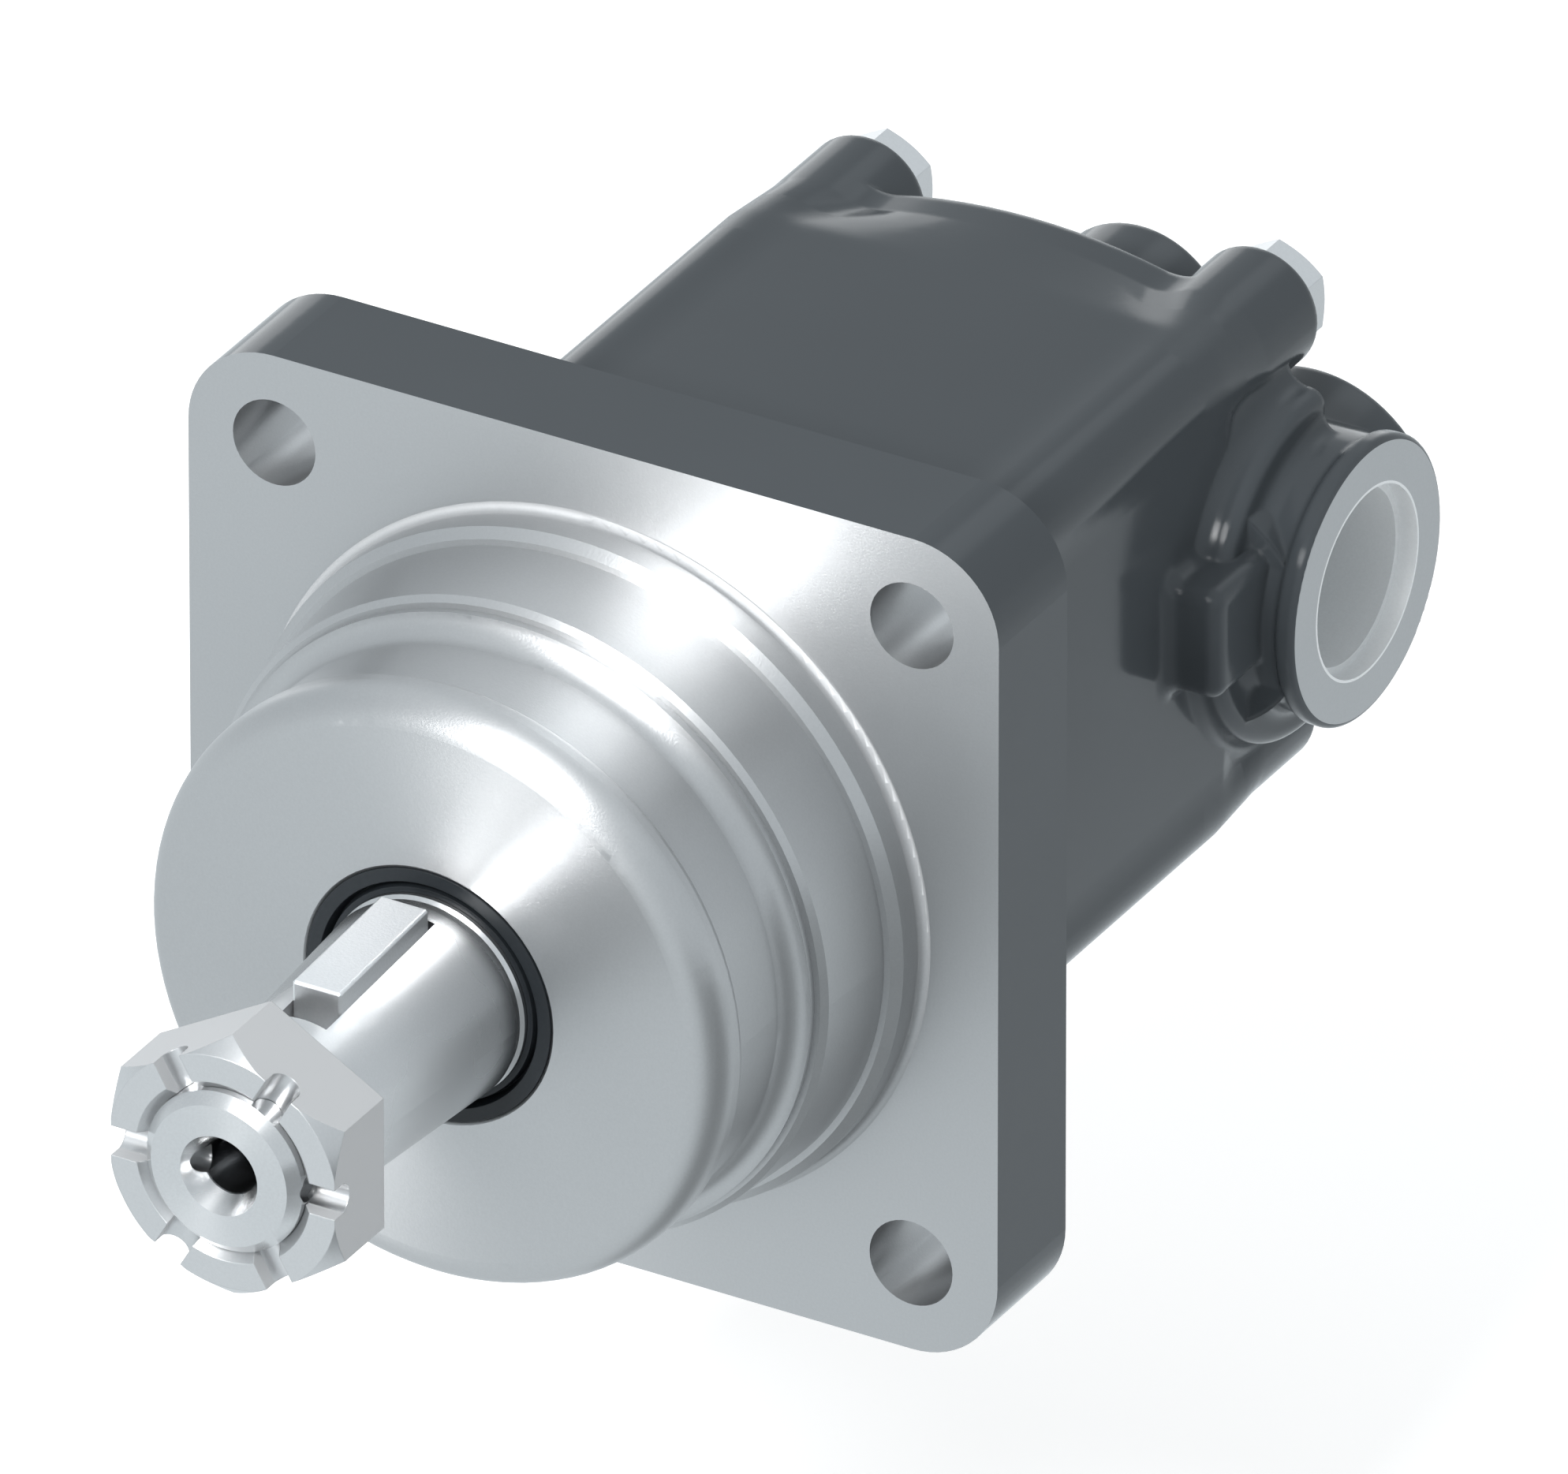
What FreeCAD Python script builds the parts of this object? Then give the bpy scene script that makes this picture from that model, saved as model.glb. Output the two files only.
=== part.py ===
import FreeCAD, Part
import math
import os
import types
import Sketcher

# Orbital hydraulic motor with a square wheel-mount flange, a tapered keyed shaft and two side ports.
# X points to the right, Y from the front face of the flange to the rear, Z up.
# The origin is where the shaft axis meets the front face of the flange.

# Driving dimensions in millimetres, angles in degrees
SIZES = {
    # Flange and turned nose of the front housing
    "flange_side": 132.7,
    "flange_thick": 19.5,
    "flange_corner_r": 14.0,
    "flange_hole_inset": 14.15,
    "flange_hole_r": 6.8,
    "pilot_r": 53.975,
    "pilot_length": 6.7,
    "pilot_chamfer": 1.4,
    "pilot_root_r": 1.1,
    "neck_rear_r": 51.6,
    "neck_front_r": 50.6,
    "neck_length": 13.9,
    "bead_step": 0.9,
    "bead_length": 1.5,
    "groove_r": 45.6,
    "groove_fillet_r": 3.4,
    "nose_r": 47.2,
    "nose_length": 46.3,
    "nose_rim": 7.8,
    "nose_round": 5.0,
    "nose_back_round": 1.4,
    "mouth_chamfer": 0.5,
    # Seal, washer and the lip in front of the bearings
    "seal_outer_r": 20.0,
    "seal_collar_r": 17.9,
    "seal_width": 7.5,
    "seal_groove_depth": 2.2,
    "seal_pocket_r": 18.6,
    "seal_web": 3.8,
    "seal_edge": 0.4,
    "seal_lip_clearance": 0.03,
    "seal_lip_thick": 0.85,
    "washer_thick": 1.5,
    "washer_clearance": 0.6,
    "housing_lip": 3.3,
    "housing_lip_r": 18.6,
    "cup_shoulder_r": 30.0,
    "spring_wire_r": 0.55,
    "ring_seat_gap": 0.01,
    # Tapered roller bearings
    "bearing_outer_r": 36.0,
    "bearing_total": 18.25,
    "bearing_cup_width": 15.0,
    "bearing_cone_width": 17.0,
    "bearing_tilt": 12.0,
    "bearing_play": 0.04,
    "bearing_chamfer": 1.0,
    "bearing_rib_height": 1.2,
    "bearing_small_rib_gap": 0.3,
    "front_bore_r": 17.5,
    "front_pitch_in": 9.4,
    "front_roller_r": 3.9,
    "front_roller_count": 17,
    "rear_bore_r": 22.5,
    "rear_pitch_in": 6.7,
    "rear_roller_r": 3.0,
    "rear_roller_count": 23,
    "bearing_roller_length": 11.6,
    "bearing_roller_start": 2.6,
    "cage_thick": 1.4,
    "cage_lift": 0.7,
    "cage_overhang": 1.6,
    "cage_gap": 0.12,
    "spacer_bore_r": 31.0,
    # Output shaft
    "shaft_seal_r": 16.0,
    "shaft_edge": 0.5,
    "seat_lead": 1.0,
    "shoulder_past_nose": 0.8,
    "undercut_r": 14.4,
    "undercut_width": 1.6,
    "taper_start_r": 15.9,
    "taper_slope": 0.0625,
    "taper_length": 37.5,
    "thread_r": 12.7,
    "thread_relief_r": 11.9,
    "thread_relief_width": 2.0,
    "shaft_tip": 104.6,
    "shaft_tip_chamfer": 1.6,
    "centre_hole_r": 4.3,
    "centre_hole_depth": 14.0,
    "centre_sink_r": 6.3,
    "centre_sink_depth": 3.4,
    "pin_hole_r": 2.1,
    "collar_r": 25.0,
    "collar_length": 14.5,
    "shaft_end_gap": 0.8,
    "ring_groove_depth": 1.3,
    "ring_thick": 1.6,
    "ring_stand": 1.6,
    "ring_clearance": 0.05,
    "ring_opening": 6.0,
    # Key and its seat
    "key_width": 7.94,
    "key_length": 24.7,
    "key_height": 7.94,
    "key_start": 52.7,
    "key_top": 18.5,
    "key_chamfer": 0.35,
    "key_side_clearance": 0.02,
    "keyseat_front_run": 4.0,
    "keyseat_rear_run": 1.6,
    # Slotted nut
    "nut_across_flats": 36.5,
    "nut_thick": 13.7,
    "nut_from_tip": 1.1,
    "nut_face_r": 18.6,
    "nut_chamfer_depth": 2.9,
    "nut_sink_r": 14.3,
    "nut_sink_depth": 1.7,
    "nut_slots": 6,
    "nut_slot_width": 4.8,
    "nut_slot_depth": 4.7,
    "nut_slot_bottom_r": 2.5,
    "nut_thread_gap": 0.05,
    # Rear housing casting
    "body_end": 126.5,
    "side_wall": 7.3,
    "front_corner_inset": 8.4,
    "front_corner_r": 8.0,
    "front_side_r": 600.0,
    "front_blend_r": 30.0,
    "front_end": 107.6,
    "rear_side_r": 100.0,
    "rear_blend_r": 9.0,
    "screw_land": 10.42,
    "rear_start": 119.5,
    "rear_rim_r": 2.4,
    "boss_r": 9.75,
    "boss_end": 135.0,
    "boss_round": 1.2,
    "cavity_step": 0.6,
    "cavity_chamfer": 0.4,
    "well_r": 7.0,
    "bolt_hole_r": 5.2,
    "oring_land": 1.55,
    "oring_groove_width": 2.25,
    "oring_groove_depth": 1.5,
    # Ports
    "port_boss_r": 21.9,
    "port_edge": 1.0,
    "port_rim_thick": 2.6,
    "port_neck_r": 20.9,
    "port_neck_round": 2.6,
    "port_base_r": 27.0,
    "port_base_rise": 5.0,
    "port_base_round": 2.2,
    "port_foot_r": 4.0,
    "port_foot_turn": 70.0,
    "port_skirt_depth": 3.7,
    "port_mouth_r": 14.6,
    "port_mouth_depth": 3.0,
    "port_bore_r": 13.5,
    "right_port_rise": 14.5,
    "right_port_y": 122.4,
    "right_port_wall": 2.1,
    "left_port_rise": 13.8,
    "left_port_y": 98.1,
    "left_port_wall": 4.1,
    "passage_r": 5.0,
    "passage_y": 118.5,
    "passage_reach": 6.0,
    "inlet_r": 5.5,
    "drill_overlap": 1.0,
    # Rear lobes, lug and drain
    "lobe_end": 143.4,
    "lobe_start": 104.0,
    "lobe_round": 1.6,
    "side_lobe_r": 19.6,
    "top_lobe_r": 14.56,
    "top_lobe_x": 8.4,
    "top_lobe_z": 20.5,
    "top_lobe_start": 118.0,
    "lug_rise": 8.7,
    "lug_start": 89.3,
    "lug_end": 107.0,
    "lug_bottom": 5.8,
    "lug_top": 12.0,
    "lug_round": 2.4,
    "lug_foot_r": 2.7,
    "drain_r": 5.5,
    "drain_depth": 13.0,
    "drain_end_gap": 1.0,
    "drain_drill_r": 2.0,
    "drain_head_r": 9.0,
    "drain_head_thick": 4.5,
    "drain_head_edge": 0.8,
    "drain_socket": 6.35,
    "drain_socket_depth": 3.2,
    "drain_seal_r": 7.7,
    "drain_seal_depth": 1.8,
    "drain_thread_gap": 0.04,
    # Cap screws
    "screw_r": 4.7625,
    "screw_across_flats": 14.29,
    "screw_head": 6.1,
    "screw_tip": 4.5,
    "screw_thread_gap": 0.04,
    "screw_hole_end": 3.0,
    "screw_washer_face": 0.4,
    "screw_washer_r": 6.85,
    "screw_face_r": 6.7,
    "screw_chamfer_turn": 30.0,
    # Stack of plates in the rear housing
    "stack_clearance": 0.08,
    "wear_plate_thick": 7.0,
    "wear_plate_bore_r": 14.3,
    "stator_thick": 42.0,
    "stator_bore_r": 25.5,
    "manifold_thick": 20.0,
    "manifold_bore_r": 11.4,
    "manifold_hole_r": 2.2,
    "manifold_hole_pitch_r": 21.6,
    "commutator_thick": 16.0,
    "end_plate_thick": 6.0,
    "end_plate_bore_r": 10.0,
    "plate_spring_gap": 1.5,
    "plate_spring_in": 22.0,
    "plate_spring_out": 33.0,
    "plate_spring_thick": 0.8,
    "face_gap": 0.05,
    "dowel_r": 1.5,
    "dowel_pitch_r": 31.2,
    "dowel_bite": 4.5,
    "dowel_gap": 0.02,
    # Roller rotor set
    "roller_pitch_r": 26.5,
    "roller_r": 6.0,
    "roller_count": 7,
    "roller_gap": 0.04,
    "eccentricity": 2.2,
    # Splines and drive link
    "spline_teeth": 12,
    "spline_minor_r": 12.0,
    "spline_major_r": 14.0,
    "spline_space": 3.9,
    "spline_length": 17.0,
    "link_clearance": 0.45,
    "link_head_length": 12.0,
    "link_head_crown": 0.35,
    "link_shank_r": 9.3,
    "link_tail_r": 6.0,
    "link_nose_r": 7.5,
    "link_nose_gap": 0.07,
    "link_end_chamfer": 1.2,
    "socket_depth": 24.0,
    "socket_mouth_r": 14.6,
    "socket_mouth_depth": 3.5,
    "link_front": 6.0,
    # Commutator set
    "commutator_r": 21.0,
    "commutator_swing_gap": 0.6,
    "commutator_recess_in": 10.2,
    "commutator_recess_out": 16.6,
    "commutator_recess_depth": 4.0,
    "commutator_hole_r": 1.9,
    "commutator_holes": 6,
    "commutator_seal_in": 17.4,
    "commutator_seal_width": 1.8,
    "commutator_seal_depth": 1.6,
    "ring_channel_depth": 1.8,
    "ring_channel_width": 8.0,
    "ring_port_r": 3.6,
    "ring_ports": 3,
}

ROLLERS = SIZES["roller_count"]
SPLINE_TEETH = SIZES["spline_teeth"]
DOWEL_STEPS = (0.5, 3.5)    # dowels stand half way between rollers
POINTS_PER_LOBE = 24        # points through which the rotor's outline is drawn
NEAR = 1e-3                 # mm within which an edge counts as found

doc = FreeCAD.newDocument("OrbitalMotor")
sheet = doc.addObject("Spreadsheet::Sheet", "Sizes")
for row, (word, number) in enumerate(SIZES.items(), start=1):
    sheet.set("A%d" % row, word)
    sheet.set("B%d" % row, str(number))
    sheet.setAlias("B%d" % row, word)
doc.recompute()


class Size:
    """A number with the sheet formula that gives it."""

    def __init__(self, number, formula):
        self.number = float(number)
        self.formula = formula

    def __add__(self, other):
        return combined(self, "+", other, self.number + as_size(other).number)

    def __radd__(self, other):
        return as_size(other) + self

    def __sub__(self, other):
        return combined(self, "-", other, self.number - as_size(other).number)

    def __rsub__(self, other):
        return as_size(other) - self

    def __mul__(self, other):
        return combined(self, "*", other, self.number * as_size(other).number)

    def __rmul__(self, other):
        return as_size(other) * self

    def __truediv__(self, other):
        return combined(self, "/", other, self.number / as_size(other).number)

    def __rtruediv__(self, other):
        return as_size(other) / self

    def __neg__(self):
        return Size(-self.number, "(-1 * %s)" % self.formula)


def as_size(value):
    return value if isinstance(value, Size) else Size(value, repr(float(value)))


def combined(left, sign, right, number):
    return Size(number, "(%s %s %s)" % (left.formula, sign, as_size(right).formula))


def root(size):
    return Size(math.sqrt(size.number), "sqrt(%s)" % size.formula)


def sine(size):
    return Size(math.sin(math.radians(size.number)), "sin(%s * 1 deg)" % size.formula)


def cosine(size):
    return Size(math.cos(math.radians(size.number)), "cos(%s * 1 deg)" % size.formula)


d = types.SimpleNamespace(**{word: Size(number, "Sizes." + word) for word, number in SIZES.items()})
zero = Size(0.0, "0")
finished = []

# Stations along the shaft axis, from the nose to the rear
nose_face = -d.nose_length
seal_back = nose_face + d.seal_width
washer_back = seal_back + d.washer_thick
cup_seat = washer_back + d.housing_lip
collar_front = cup_seat + d.bearing_total
collar_rear = collar_front + d.collar_length
rear_cup_back = collar_rear + d.bearing_total
joint_face = d.flange_thick
shaft_end = joint_face - d.shaft_end_gap
shoulder_front = nose_face - d.shoulder_past_nose
taper_start = shoulder_front - d.undercut_width
taper_end = taper_start - d.taper_length
shaft_tip = -d.shaft_tip
stator_front = joint_face + d.wear_plate_thick
manifold_front = stator_front + d.stator_thick
valve_front = manifold_front + d.manifold_thick
end_plate_front = valve_front + d.commutator_thick
end_plate_back = end_plate_front + d.end_plate_thick
cavity_floor = end_plate_back + d.plate_spring_gap

# Sizes across the shaft axis that follow the bearings' outer radius
cavity_r = d.bearing_outer_r - d.cavity_step
stack_r = cavity_r - d.stack_clearance
side_apex = cavity_r + d.side_wall
screw_pitch = (cavity_r + d.screw_land) * root(as_size(2))
port_root = cavity_r - d.side_wall
oring_groove_in = cavity_r + d.oring_land
right_port_face = side_apex + d.right_port_rise
left_port_face = side_apex + d.left_port_rise
flange_hole_pitch = d.flange_side - d.flange_hole_inset * 2

# Geometry of the tilted drive link
rotor_centre = stator_front + d.stator_thick / 2
valve_centre = valve_front + d.commutator_thick / 2
link_span = rotor_centre - d.link_front
valve_offset = d.eccentricity * (valve_centre - d.link_front) / link_span


def bind(thing, prop, size):
    thing.setExpression(prop, as_size(size).formula)


def new_body(label):
    body = doc.addObject("PartDesign::Body", label)
    body.Label = label
    finished.append(body)
    return body


def own_plane(body, role):
    return next(item for item in body.Origin.OriginFeatures if item.Role == role)


def new_sketch(body, name, role, across=None, up=None, off=None, turn=None):
    """A sketch on one of the body's own planes, shifted and turned in that plane's frame."""
    sketch = body.newObject("Sketcher::SketchObject", name)
    sketch.AttachmentSupport = [(own_plane(body, role), "")]
    sketch.MapMode = "FlatFace"
    for axis, shift in (("x", across), ("y", up), ("z", off)):
        if shift is not None:
            bind(sketch, ".AttachmentOffset.Base." + axis, shift)
    if turn is not None:
        bind(sketch, ".AttachmentOffset.Rotation.Angle", turn)
    return sketch


def flat_point(x, y):
    return FreeCAD.Vector(as_size(x).number, as_size(y).number, 0)


def constrain(sketch, kind, *places, size=None):
    """Add a constraint, bound to a formula where it has a size."""
    if size is None:
        sketch.addConstraint(Sketcher.Constraint(kind, *places))
        return
    index = sketch.addConstraint(Sketcher.Constraint(kind, *places, as_size(size).number))
    sketch.setExpression("Constraints[%d]" % index, as_size(size).formula)


def hold_point(sketch, edge, end, x, y):
    constrain(sketch, "DistanceX", -1, 1, edge, end, size=x)
    constrain(sketch, "DistanceY", -1, 1, edge, end, size=y)


def arc_between(start, end, side, radius):
    """An arc whose centre lies on the given side of the way from start to end."""
    half = (end - start) * 0.5
    height = math.sqrt(max(radius ** 2 - half.Length ** 2, 0.0))
    left = FreeCAD.Vector(-half.y, half.x, 0).normalize()
    centre = start + half + left * (height if side == "left" else -height)
    first, last = (start, end) if side == "left" else (end, start)
    angles = [math.atan2(p.y - centre.y, p.x - centre.x) for p in (first, last)]
    if angles[1] < angles[0]:
        angles[1] += 2 * math.pi
    circle = Part.Circle(centre, FreeCAD.Vector(0, 0, 1), radius)
    return Part.ArcOfCircle(circle, angles[0], angles[1])


def outline(sketch, corners):
    """A closed outline. A corner with a side and a radius starts an arc, any other a line."""
    base = sketch.GeometryCount
    count = len(corners)
    ends = []
    for index, corner in enumerate(corners):
        following = corners[(index + 1) % count]
        start = flat_point(*corner[:2])
        end = flat_point(*following[:2])
        if len(corner) == 4:
            sketch.addGeometry(arc_between(start, end, corner[2], corner[3].number), False)
            ends.append((1, 2) if corner[2] == "left" else (2, 1))
        else:
            sketch.addGeometry(Part.LineSegment(start, end), False)
            ends.append((1, 2))
    for index, corner in enumerate(corners):
        after = (index + 1) % count
        constrain(sketch, "Coincident", base + index, ends[index][1], base + after, ends[after][0])
        hold_point(sketch, base + index, ends[index][0], corner[0], corner[1])
        if len(corner) == 4:
            constrain(sketch, "Radius", base + index, size=corner[3])


def circle(sketch, x, y, radius):
    edge = sketch.addGeometry(
        Part.Circle(flat_point(x, y), FreeCAD.Vector(0, 0, 1), as_size(radius).number), False)
    hold_point(sketch, edge, 3, x, y)
    constrain(sketch, "Radius", edge, size=radius)


def rectangle(sketch, x0, x1, y0, y1):
    outline(sketch, [(x0, y0), (x1, y0), (x1, y1), (x0, y1)])


def hexagon(sketch, x, y, across_flats):
    """A hexagon with a corner at the top."""
    corner_r = across_flats / math.sqrt(3)
    corners = []
    for step in range(6):
        angle = math.radians(30 + 60 * step)
        corners.append((x + corner_r * math.cos(angle), y + corner_r * math.sin(angle)))
    outline(sketch, corners)


def revolve(body, sketch, name, axis="V_Axis", cut=False, angle=None, both_ways=False):
    kind = "PartDesign::Groove" if cut else "PartDesign::Revolution"
    feature = body.newObject(kind, name)
    feature.Profile = sketch
    feature.ReferenceAxis = (sketch, [axis])
    feature.Angle = 360
    feature.Midplane = both_ways
    if angle is not None:
        bind(feature, "Angle", angle)
    body.Tip = feature
    doc.recompute()
    return feature


def turned(label, corners):
    """A turned piece: its half section as radius and station, revolved about the shaft axis."""
    body = new_body(label)
    sketch = new_sketch(body, label + "_section", "XY_Plane")
    outline(sketch, corners)
    revolve(body, sketch, label + "_turned")
    return body


def bored(body, name, corners):
    """Turn a hollow about the shaft axis out of a body."""
    sketch = new_sketch(body, name + "_section", "XY_Plane")
    outline(sketch, corners)
    return revolve(body, sketch, name, cut=True)


def cross_sketch(body, name, station):
    """A sketch square to the shaft axis at a station."""
    return new_sketch(body, name, "XZ_Plane", off=-station)


def pad(body, sketch, name, length, forward=False, both_ways=False):
    """Raise a sketch towards the rear, or forward where told."""
    feature = body.newObject("PartDesign::Pad", name)
    feature.Profile = sketch
    bind(feature, "Length", length)
    feature.Reversed = not forward
    feature.Midplane = both_ways
    body.Tip = feature
    doc.recompute()
    return feature


def pocket(body, sketch, name, length, forward=False, both_ways=False):
    """Cut a sketch towards the rear, or forward where told."""
    before = body.Shape.Volume
    feature = body.newObject("PartDesign::Pocket", name)
    feature.Profile = sketch
    bind(feature, "Length", length)
    feature.Reversed = forward
    feature.Midplane = both_ways
    body.Tip = feature
    doc.recompute()
    if feature.Shape.Volume >= before:
        raise RuntimeError(name + " removes nothing")
    return feature


def patterned(body, features, name, count):
    """Repeat features round the body's own Y axis."""
    feature = body.newObject("PartDesign::PolarPattern", name)
    feature.Originals = features
    feature.Axis = (own_plane(body, "Y_Axis"), [""])
    feature.Angle = 360
    bind(feature, "Occurrences", count)
    body.Tip = feature
    doc.recompute()
    return feature


def dress(body, kind, name, edges, prop, size):
    """A fillet or a chamfer on edges of the body's last feature."""
    if not edges:
        raise RuntimeError(name + " finds no edge")
    base = body.Tip
    feature = body.newObject("PartDesign::" + kind, name)
    feature.Base = (base, edges)
    bind(feature, prop, size)
    body.Tip = feature
    doc.recompute()
    return feature


def edges_at(body, places):
    """Edges whose middle point is near one of the given places."""
    names = []
    for index, edge in enumerate(body.Tip.Shape.Edges, start=1):
        first, last = edge.ParameterRange
        middle = edge.valueAt((first + last) / 2)
        if any(middle.distanceToPoint(place) < NEAR for place in places):
            names.append("Edge%d" % index)
    return names


def edges_within(body, across, along, up):
    """Every edge that lies wholly inside a box, given by its span on each axis."""
    low = FreeCAD.Vector(*[as_size(span[0]).number - NEAR for span in (across, along, up)])
    high = FreeCAD.Vector(*[as_size(span[1]).number + NEAR for span in (across, along, up)])
    room = FreeCAD.BoundBox(low, high)
    edges = enumerate(body.Tip.Shape.Edges, start=1)
    return ["Edge%d" % index for index, edge in edges if room.isInside(edge.BoundBox)]


def rim_edges(body, station):
    """Every edge that lies wholly at a station."""
    names = []
    for index, edge in enumerate(body.Tip.Shape.Edges, start=1):
        box = edge.BoundBox
        if abs(box.YMin - station.number) < NEAR and abs(box.YMax - station.number) < NEAR:
            names.append("Edge%d" % index)
    return names


def four_corners(pitch):
    half = pitch / 2
    return [(half, half), (-half, half), (-half, -half), (half, -half)]


# Front housing: flange, turned nose, bearing and seal bores

def front_housing():
    body = new_body("front_housing")
    plate = cross_sketch(body, "flange_outline", zero)
    half = d.flange_side / 2
    rectangle(plate, -half, half, -half, half)
    pad(body, plate, "flange_plate", d.flange_thick)
    middle = d.flange_thick.number / 2
    places = [FreeCAD.Vector(x.number, middle, z.number) for x, z in four_corners(d.flange_side)]
    dress(body, "Fillet", "flange_corners", edges_at(body, places), "Radius", d.flange_corner_r)
    nose(body)
    inner_bore(body)
    holes = cross_sketch(body, "flange_hole_places", zero)
    for x, z in four_corners(flange_hole_pitch):
        circle(holes, x, z, d.flange_hole_r)
    pocket(body, holes, "flange_holes", d.flange_thick)
    threads = cross_sketch(body, "tapped_hole_places", d.screw_hole_end)
    for x, z in four_corners(screw_pitch):
        circle(threads, x, z, d.screw_r + d.screw_thread_gap)
    pocket(body, threads, "tapped_holes", d.flange_thick - d.screw_hole_end)


def nose(body):
    """Pilot, neck with its bead, groove and rounded front disc, all turned."""
    pilot_front = -d.pilot_length
    neck_front = pilot_front - d.neck_length
    bead_front = neck_front - d.bead_step - d.bead_length
    groove_start_r = d.neck_front_r - d.bead_step * 2
    disc_back = nose_face + d.nose_rim
    cove = d.groove_fillet_r
    sketch = new_sketch(body, "nose_section", "XY_Plane")
    outline(sketch, [
        (zero, nose_face),
        (d.nose_r - d.nose_round, nose_face, "left", d.nose_round),
        (d.nose_r, nose_face + d.nose_round),
        (d.nose_r, disc_back - d.nose_back_round, "left", d.nose_back_round),
        (d.nose_r - d.nose_back_round, disc_back),
        (d.groove_r, disc_back),
        (d.groove_r, bead_front - cove, "right", cove),
        (d.groove_r + cove, bead_front),
        (groove_start_r, bead_front),
        (groove_start_r, bead_front + d.bead_length),
        (d.neck_front_r - d.bead_step, bead_front + d.bead_length),
        (d.neck_front_r, neck_front),
        (d.neck_rear_r, pilot_front),
        (d.pilot_r - d.pilot_chamfer, pilot_front),
        (d.pilot_r, pilot_front + d.pilot_chamfer),
        (d.pilot_r, -d.pilot_root_r, "right", d.pilot_root_r),
        (d.pilot_r + d.pilot_root_r, zero),
        (d.pilot_r + d.pilot_root_r, d.flange_thick / 2),
        (zero, d.flange_thick / 2),
    ])
    revolve(body, sketch, "nose_turned")


def inner_bore(body):
    bored(body, "inner_bore", [
        (zero, nose_face),
        (d.seal_outer_r + d.mouth_chamfer, nose_face),
        (d.seal_outer_r, nose_face + d.mouth_chamfer),
        (d.seal_outer_r, washer_back),
        (d.housing_lip_r, washer_back),
        (d.housing_lip_r, cup_seat - d.housing_lip / 2),
        (d.cup_shoulder_r, cup_seat - d.housing_lip / 2),
        (d.cup_shoulder_r, cup_seat),
        (d.bearing_outer_r, cup_seat),
        (d.bearing_outer_r, joint_face),
        (zero, joint_face),
    ])


# Rear housing: ribbed casting with its ports, lobes, lug and cavity

def casting_section(sketch, pitch, corner_r, side_r, blend_r):
    """Four bulging sides, joined to four round corners by hollow blends that touch both."""
    drop = side_r - side_apex
    place = pitch / 2
    far = side_r.number + blend_r.number
    near = corner_r.number + blend_r.number
    # The blend's centre makes a triangle with the centres of the side and of the corner
    base = math.hypot(place.number, place.number + drop.number)
    along = (far ** 2 - near ** 2 + base ** 2) / (2 * base)
    lean = math.atan2(place.number + drop.number, place.number) + math.acos(along / far)
    blend_x = far * math.cos(lean)
    blend_z = far * math.sin(lean) - drop.number
    to_corner = math.atan2(place.number - blend_z, place.number - blend_x)
    to_side = math.atan2(-drop.number - blend_z, -blend_x)
    corner_open = math.pi + to_corner
    arcs = []
    for quarter in range(4):
        turn = quarter * math.pi / 2
        arcs.append((turn, (blend_x, blend_z), blend_r, to_side, to_corner, True))
        arcs.append((turn, (0.0, -drop.number), side_r, lean, math.pi - lean, False))
        arcs.append((turn, (-blend_x, blend_z), blend_r, -math.pi - to_corner, -math.pi - to_side, True))
        arcs.append((turn, (-place.number, place.number), corner_r,
                     math.pi - corner_open, math.pi / 2 + corner_open, False))
    for turn, (x, z), radius, first, last, hollow in arcs:
        centre = FreeCAD.Vector(x * math.cos(turn) - z * math.sin(turn),
                                x * math.sin(turn) + z * math.cos(turn), 0)
        ring = Part.Circle(centre, FreeCAD.Vector(0, 0, 1), radius.number)
        sketch.addGeometry(Part.ArcOfCircle(ring, first + turn, last + turn), False)
    for index, arc in enumerate(arcs):
        after = (index + 1) % len(arcs)
        leaving = 1 if arc[5] else 2
        entering = 2 if arcs[after][5] else 1
        constrain(sketch, "Tangent", index, leaving, after, entering)
        constrain(sketch, "Radius", index, size=arc[2])
    for quarter, (x, z) in enumerate(four_corners(pitch)):
        corner = 4 * ((quarter - 1) % 4) + 3
        hold_point(sketch, corner, 3, x, z)
    for quarter, (x, z) in enumerate([(zero, -drop), (drop, zero), (zero, drop), (-drop, zero)]):
        hold_point(sketch, 4 * quarter + 1, 3, x, z)


def port_section(body, name, port_y, corners):
    """A sketch whose flat axis runs along X through a port's centre."""
    sketch = new_sketch(body, name, "XY_Plane", up=port_y)
    outline(sketch, corners)
    return sketch


def port_base(body, name, port_y, side):
    """The wide base of a port: hollow foot on the casting, round shoulder, hollow neck."""
    shoulder = side_apex + d.port_base_rise
    neck = shoulder + d.port_neck_round
    foot_start = shoulder - d.port_base_round
    foot_end = foot_start - d.port_foot_r * sine(d.port_foot_turn)
    foot_end_r = d.port_base_r + d.port_foot_r * (1 - cosine(d.port_foot_turn))
    skirt = side_apex - d.port_skirt_depth
    skirt_r = foot_end_r + (foot_end - skirt) * sine(d.port_foot_turn) / cosine(d.port_foot_turn)
    hollow, bulging = ("left", "right") if side > 0 else ("right", "left")
    section = port_section(body, name + "_base_section", port_y, [
        (side * port_root, zero),
        (side * neck, zero),
        (side * neck, -d.port_neck_r, hollow, d.port_neck_round),
        (side * shoulder, -d.port_neck_r - d.port_neck_round),
        (side * shoulder, -d.port_base_r + d.port_base_round, bulging, d.port_base_round),
        (side * foot_start, -d.port_base_r, hollow, d.port_foot_r),
        (side * foot_end, -foot_end_r),
        (side * skirt, -skirt_r),
        (side * port_root, -skirt_r),
    ])
    revolve(body, section, name + "_base", axis="H_Axis")


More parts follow.
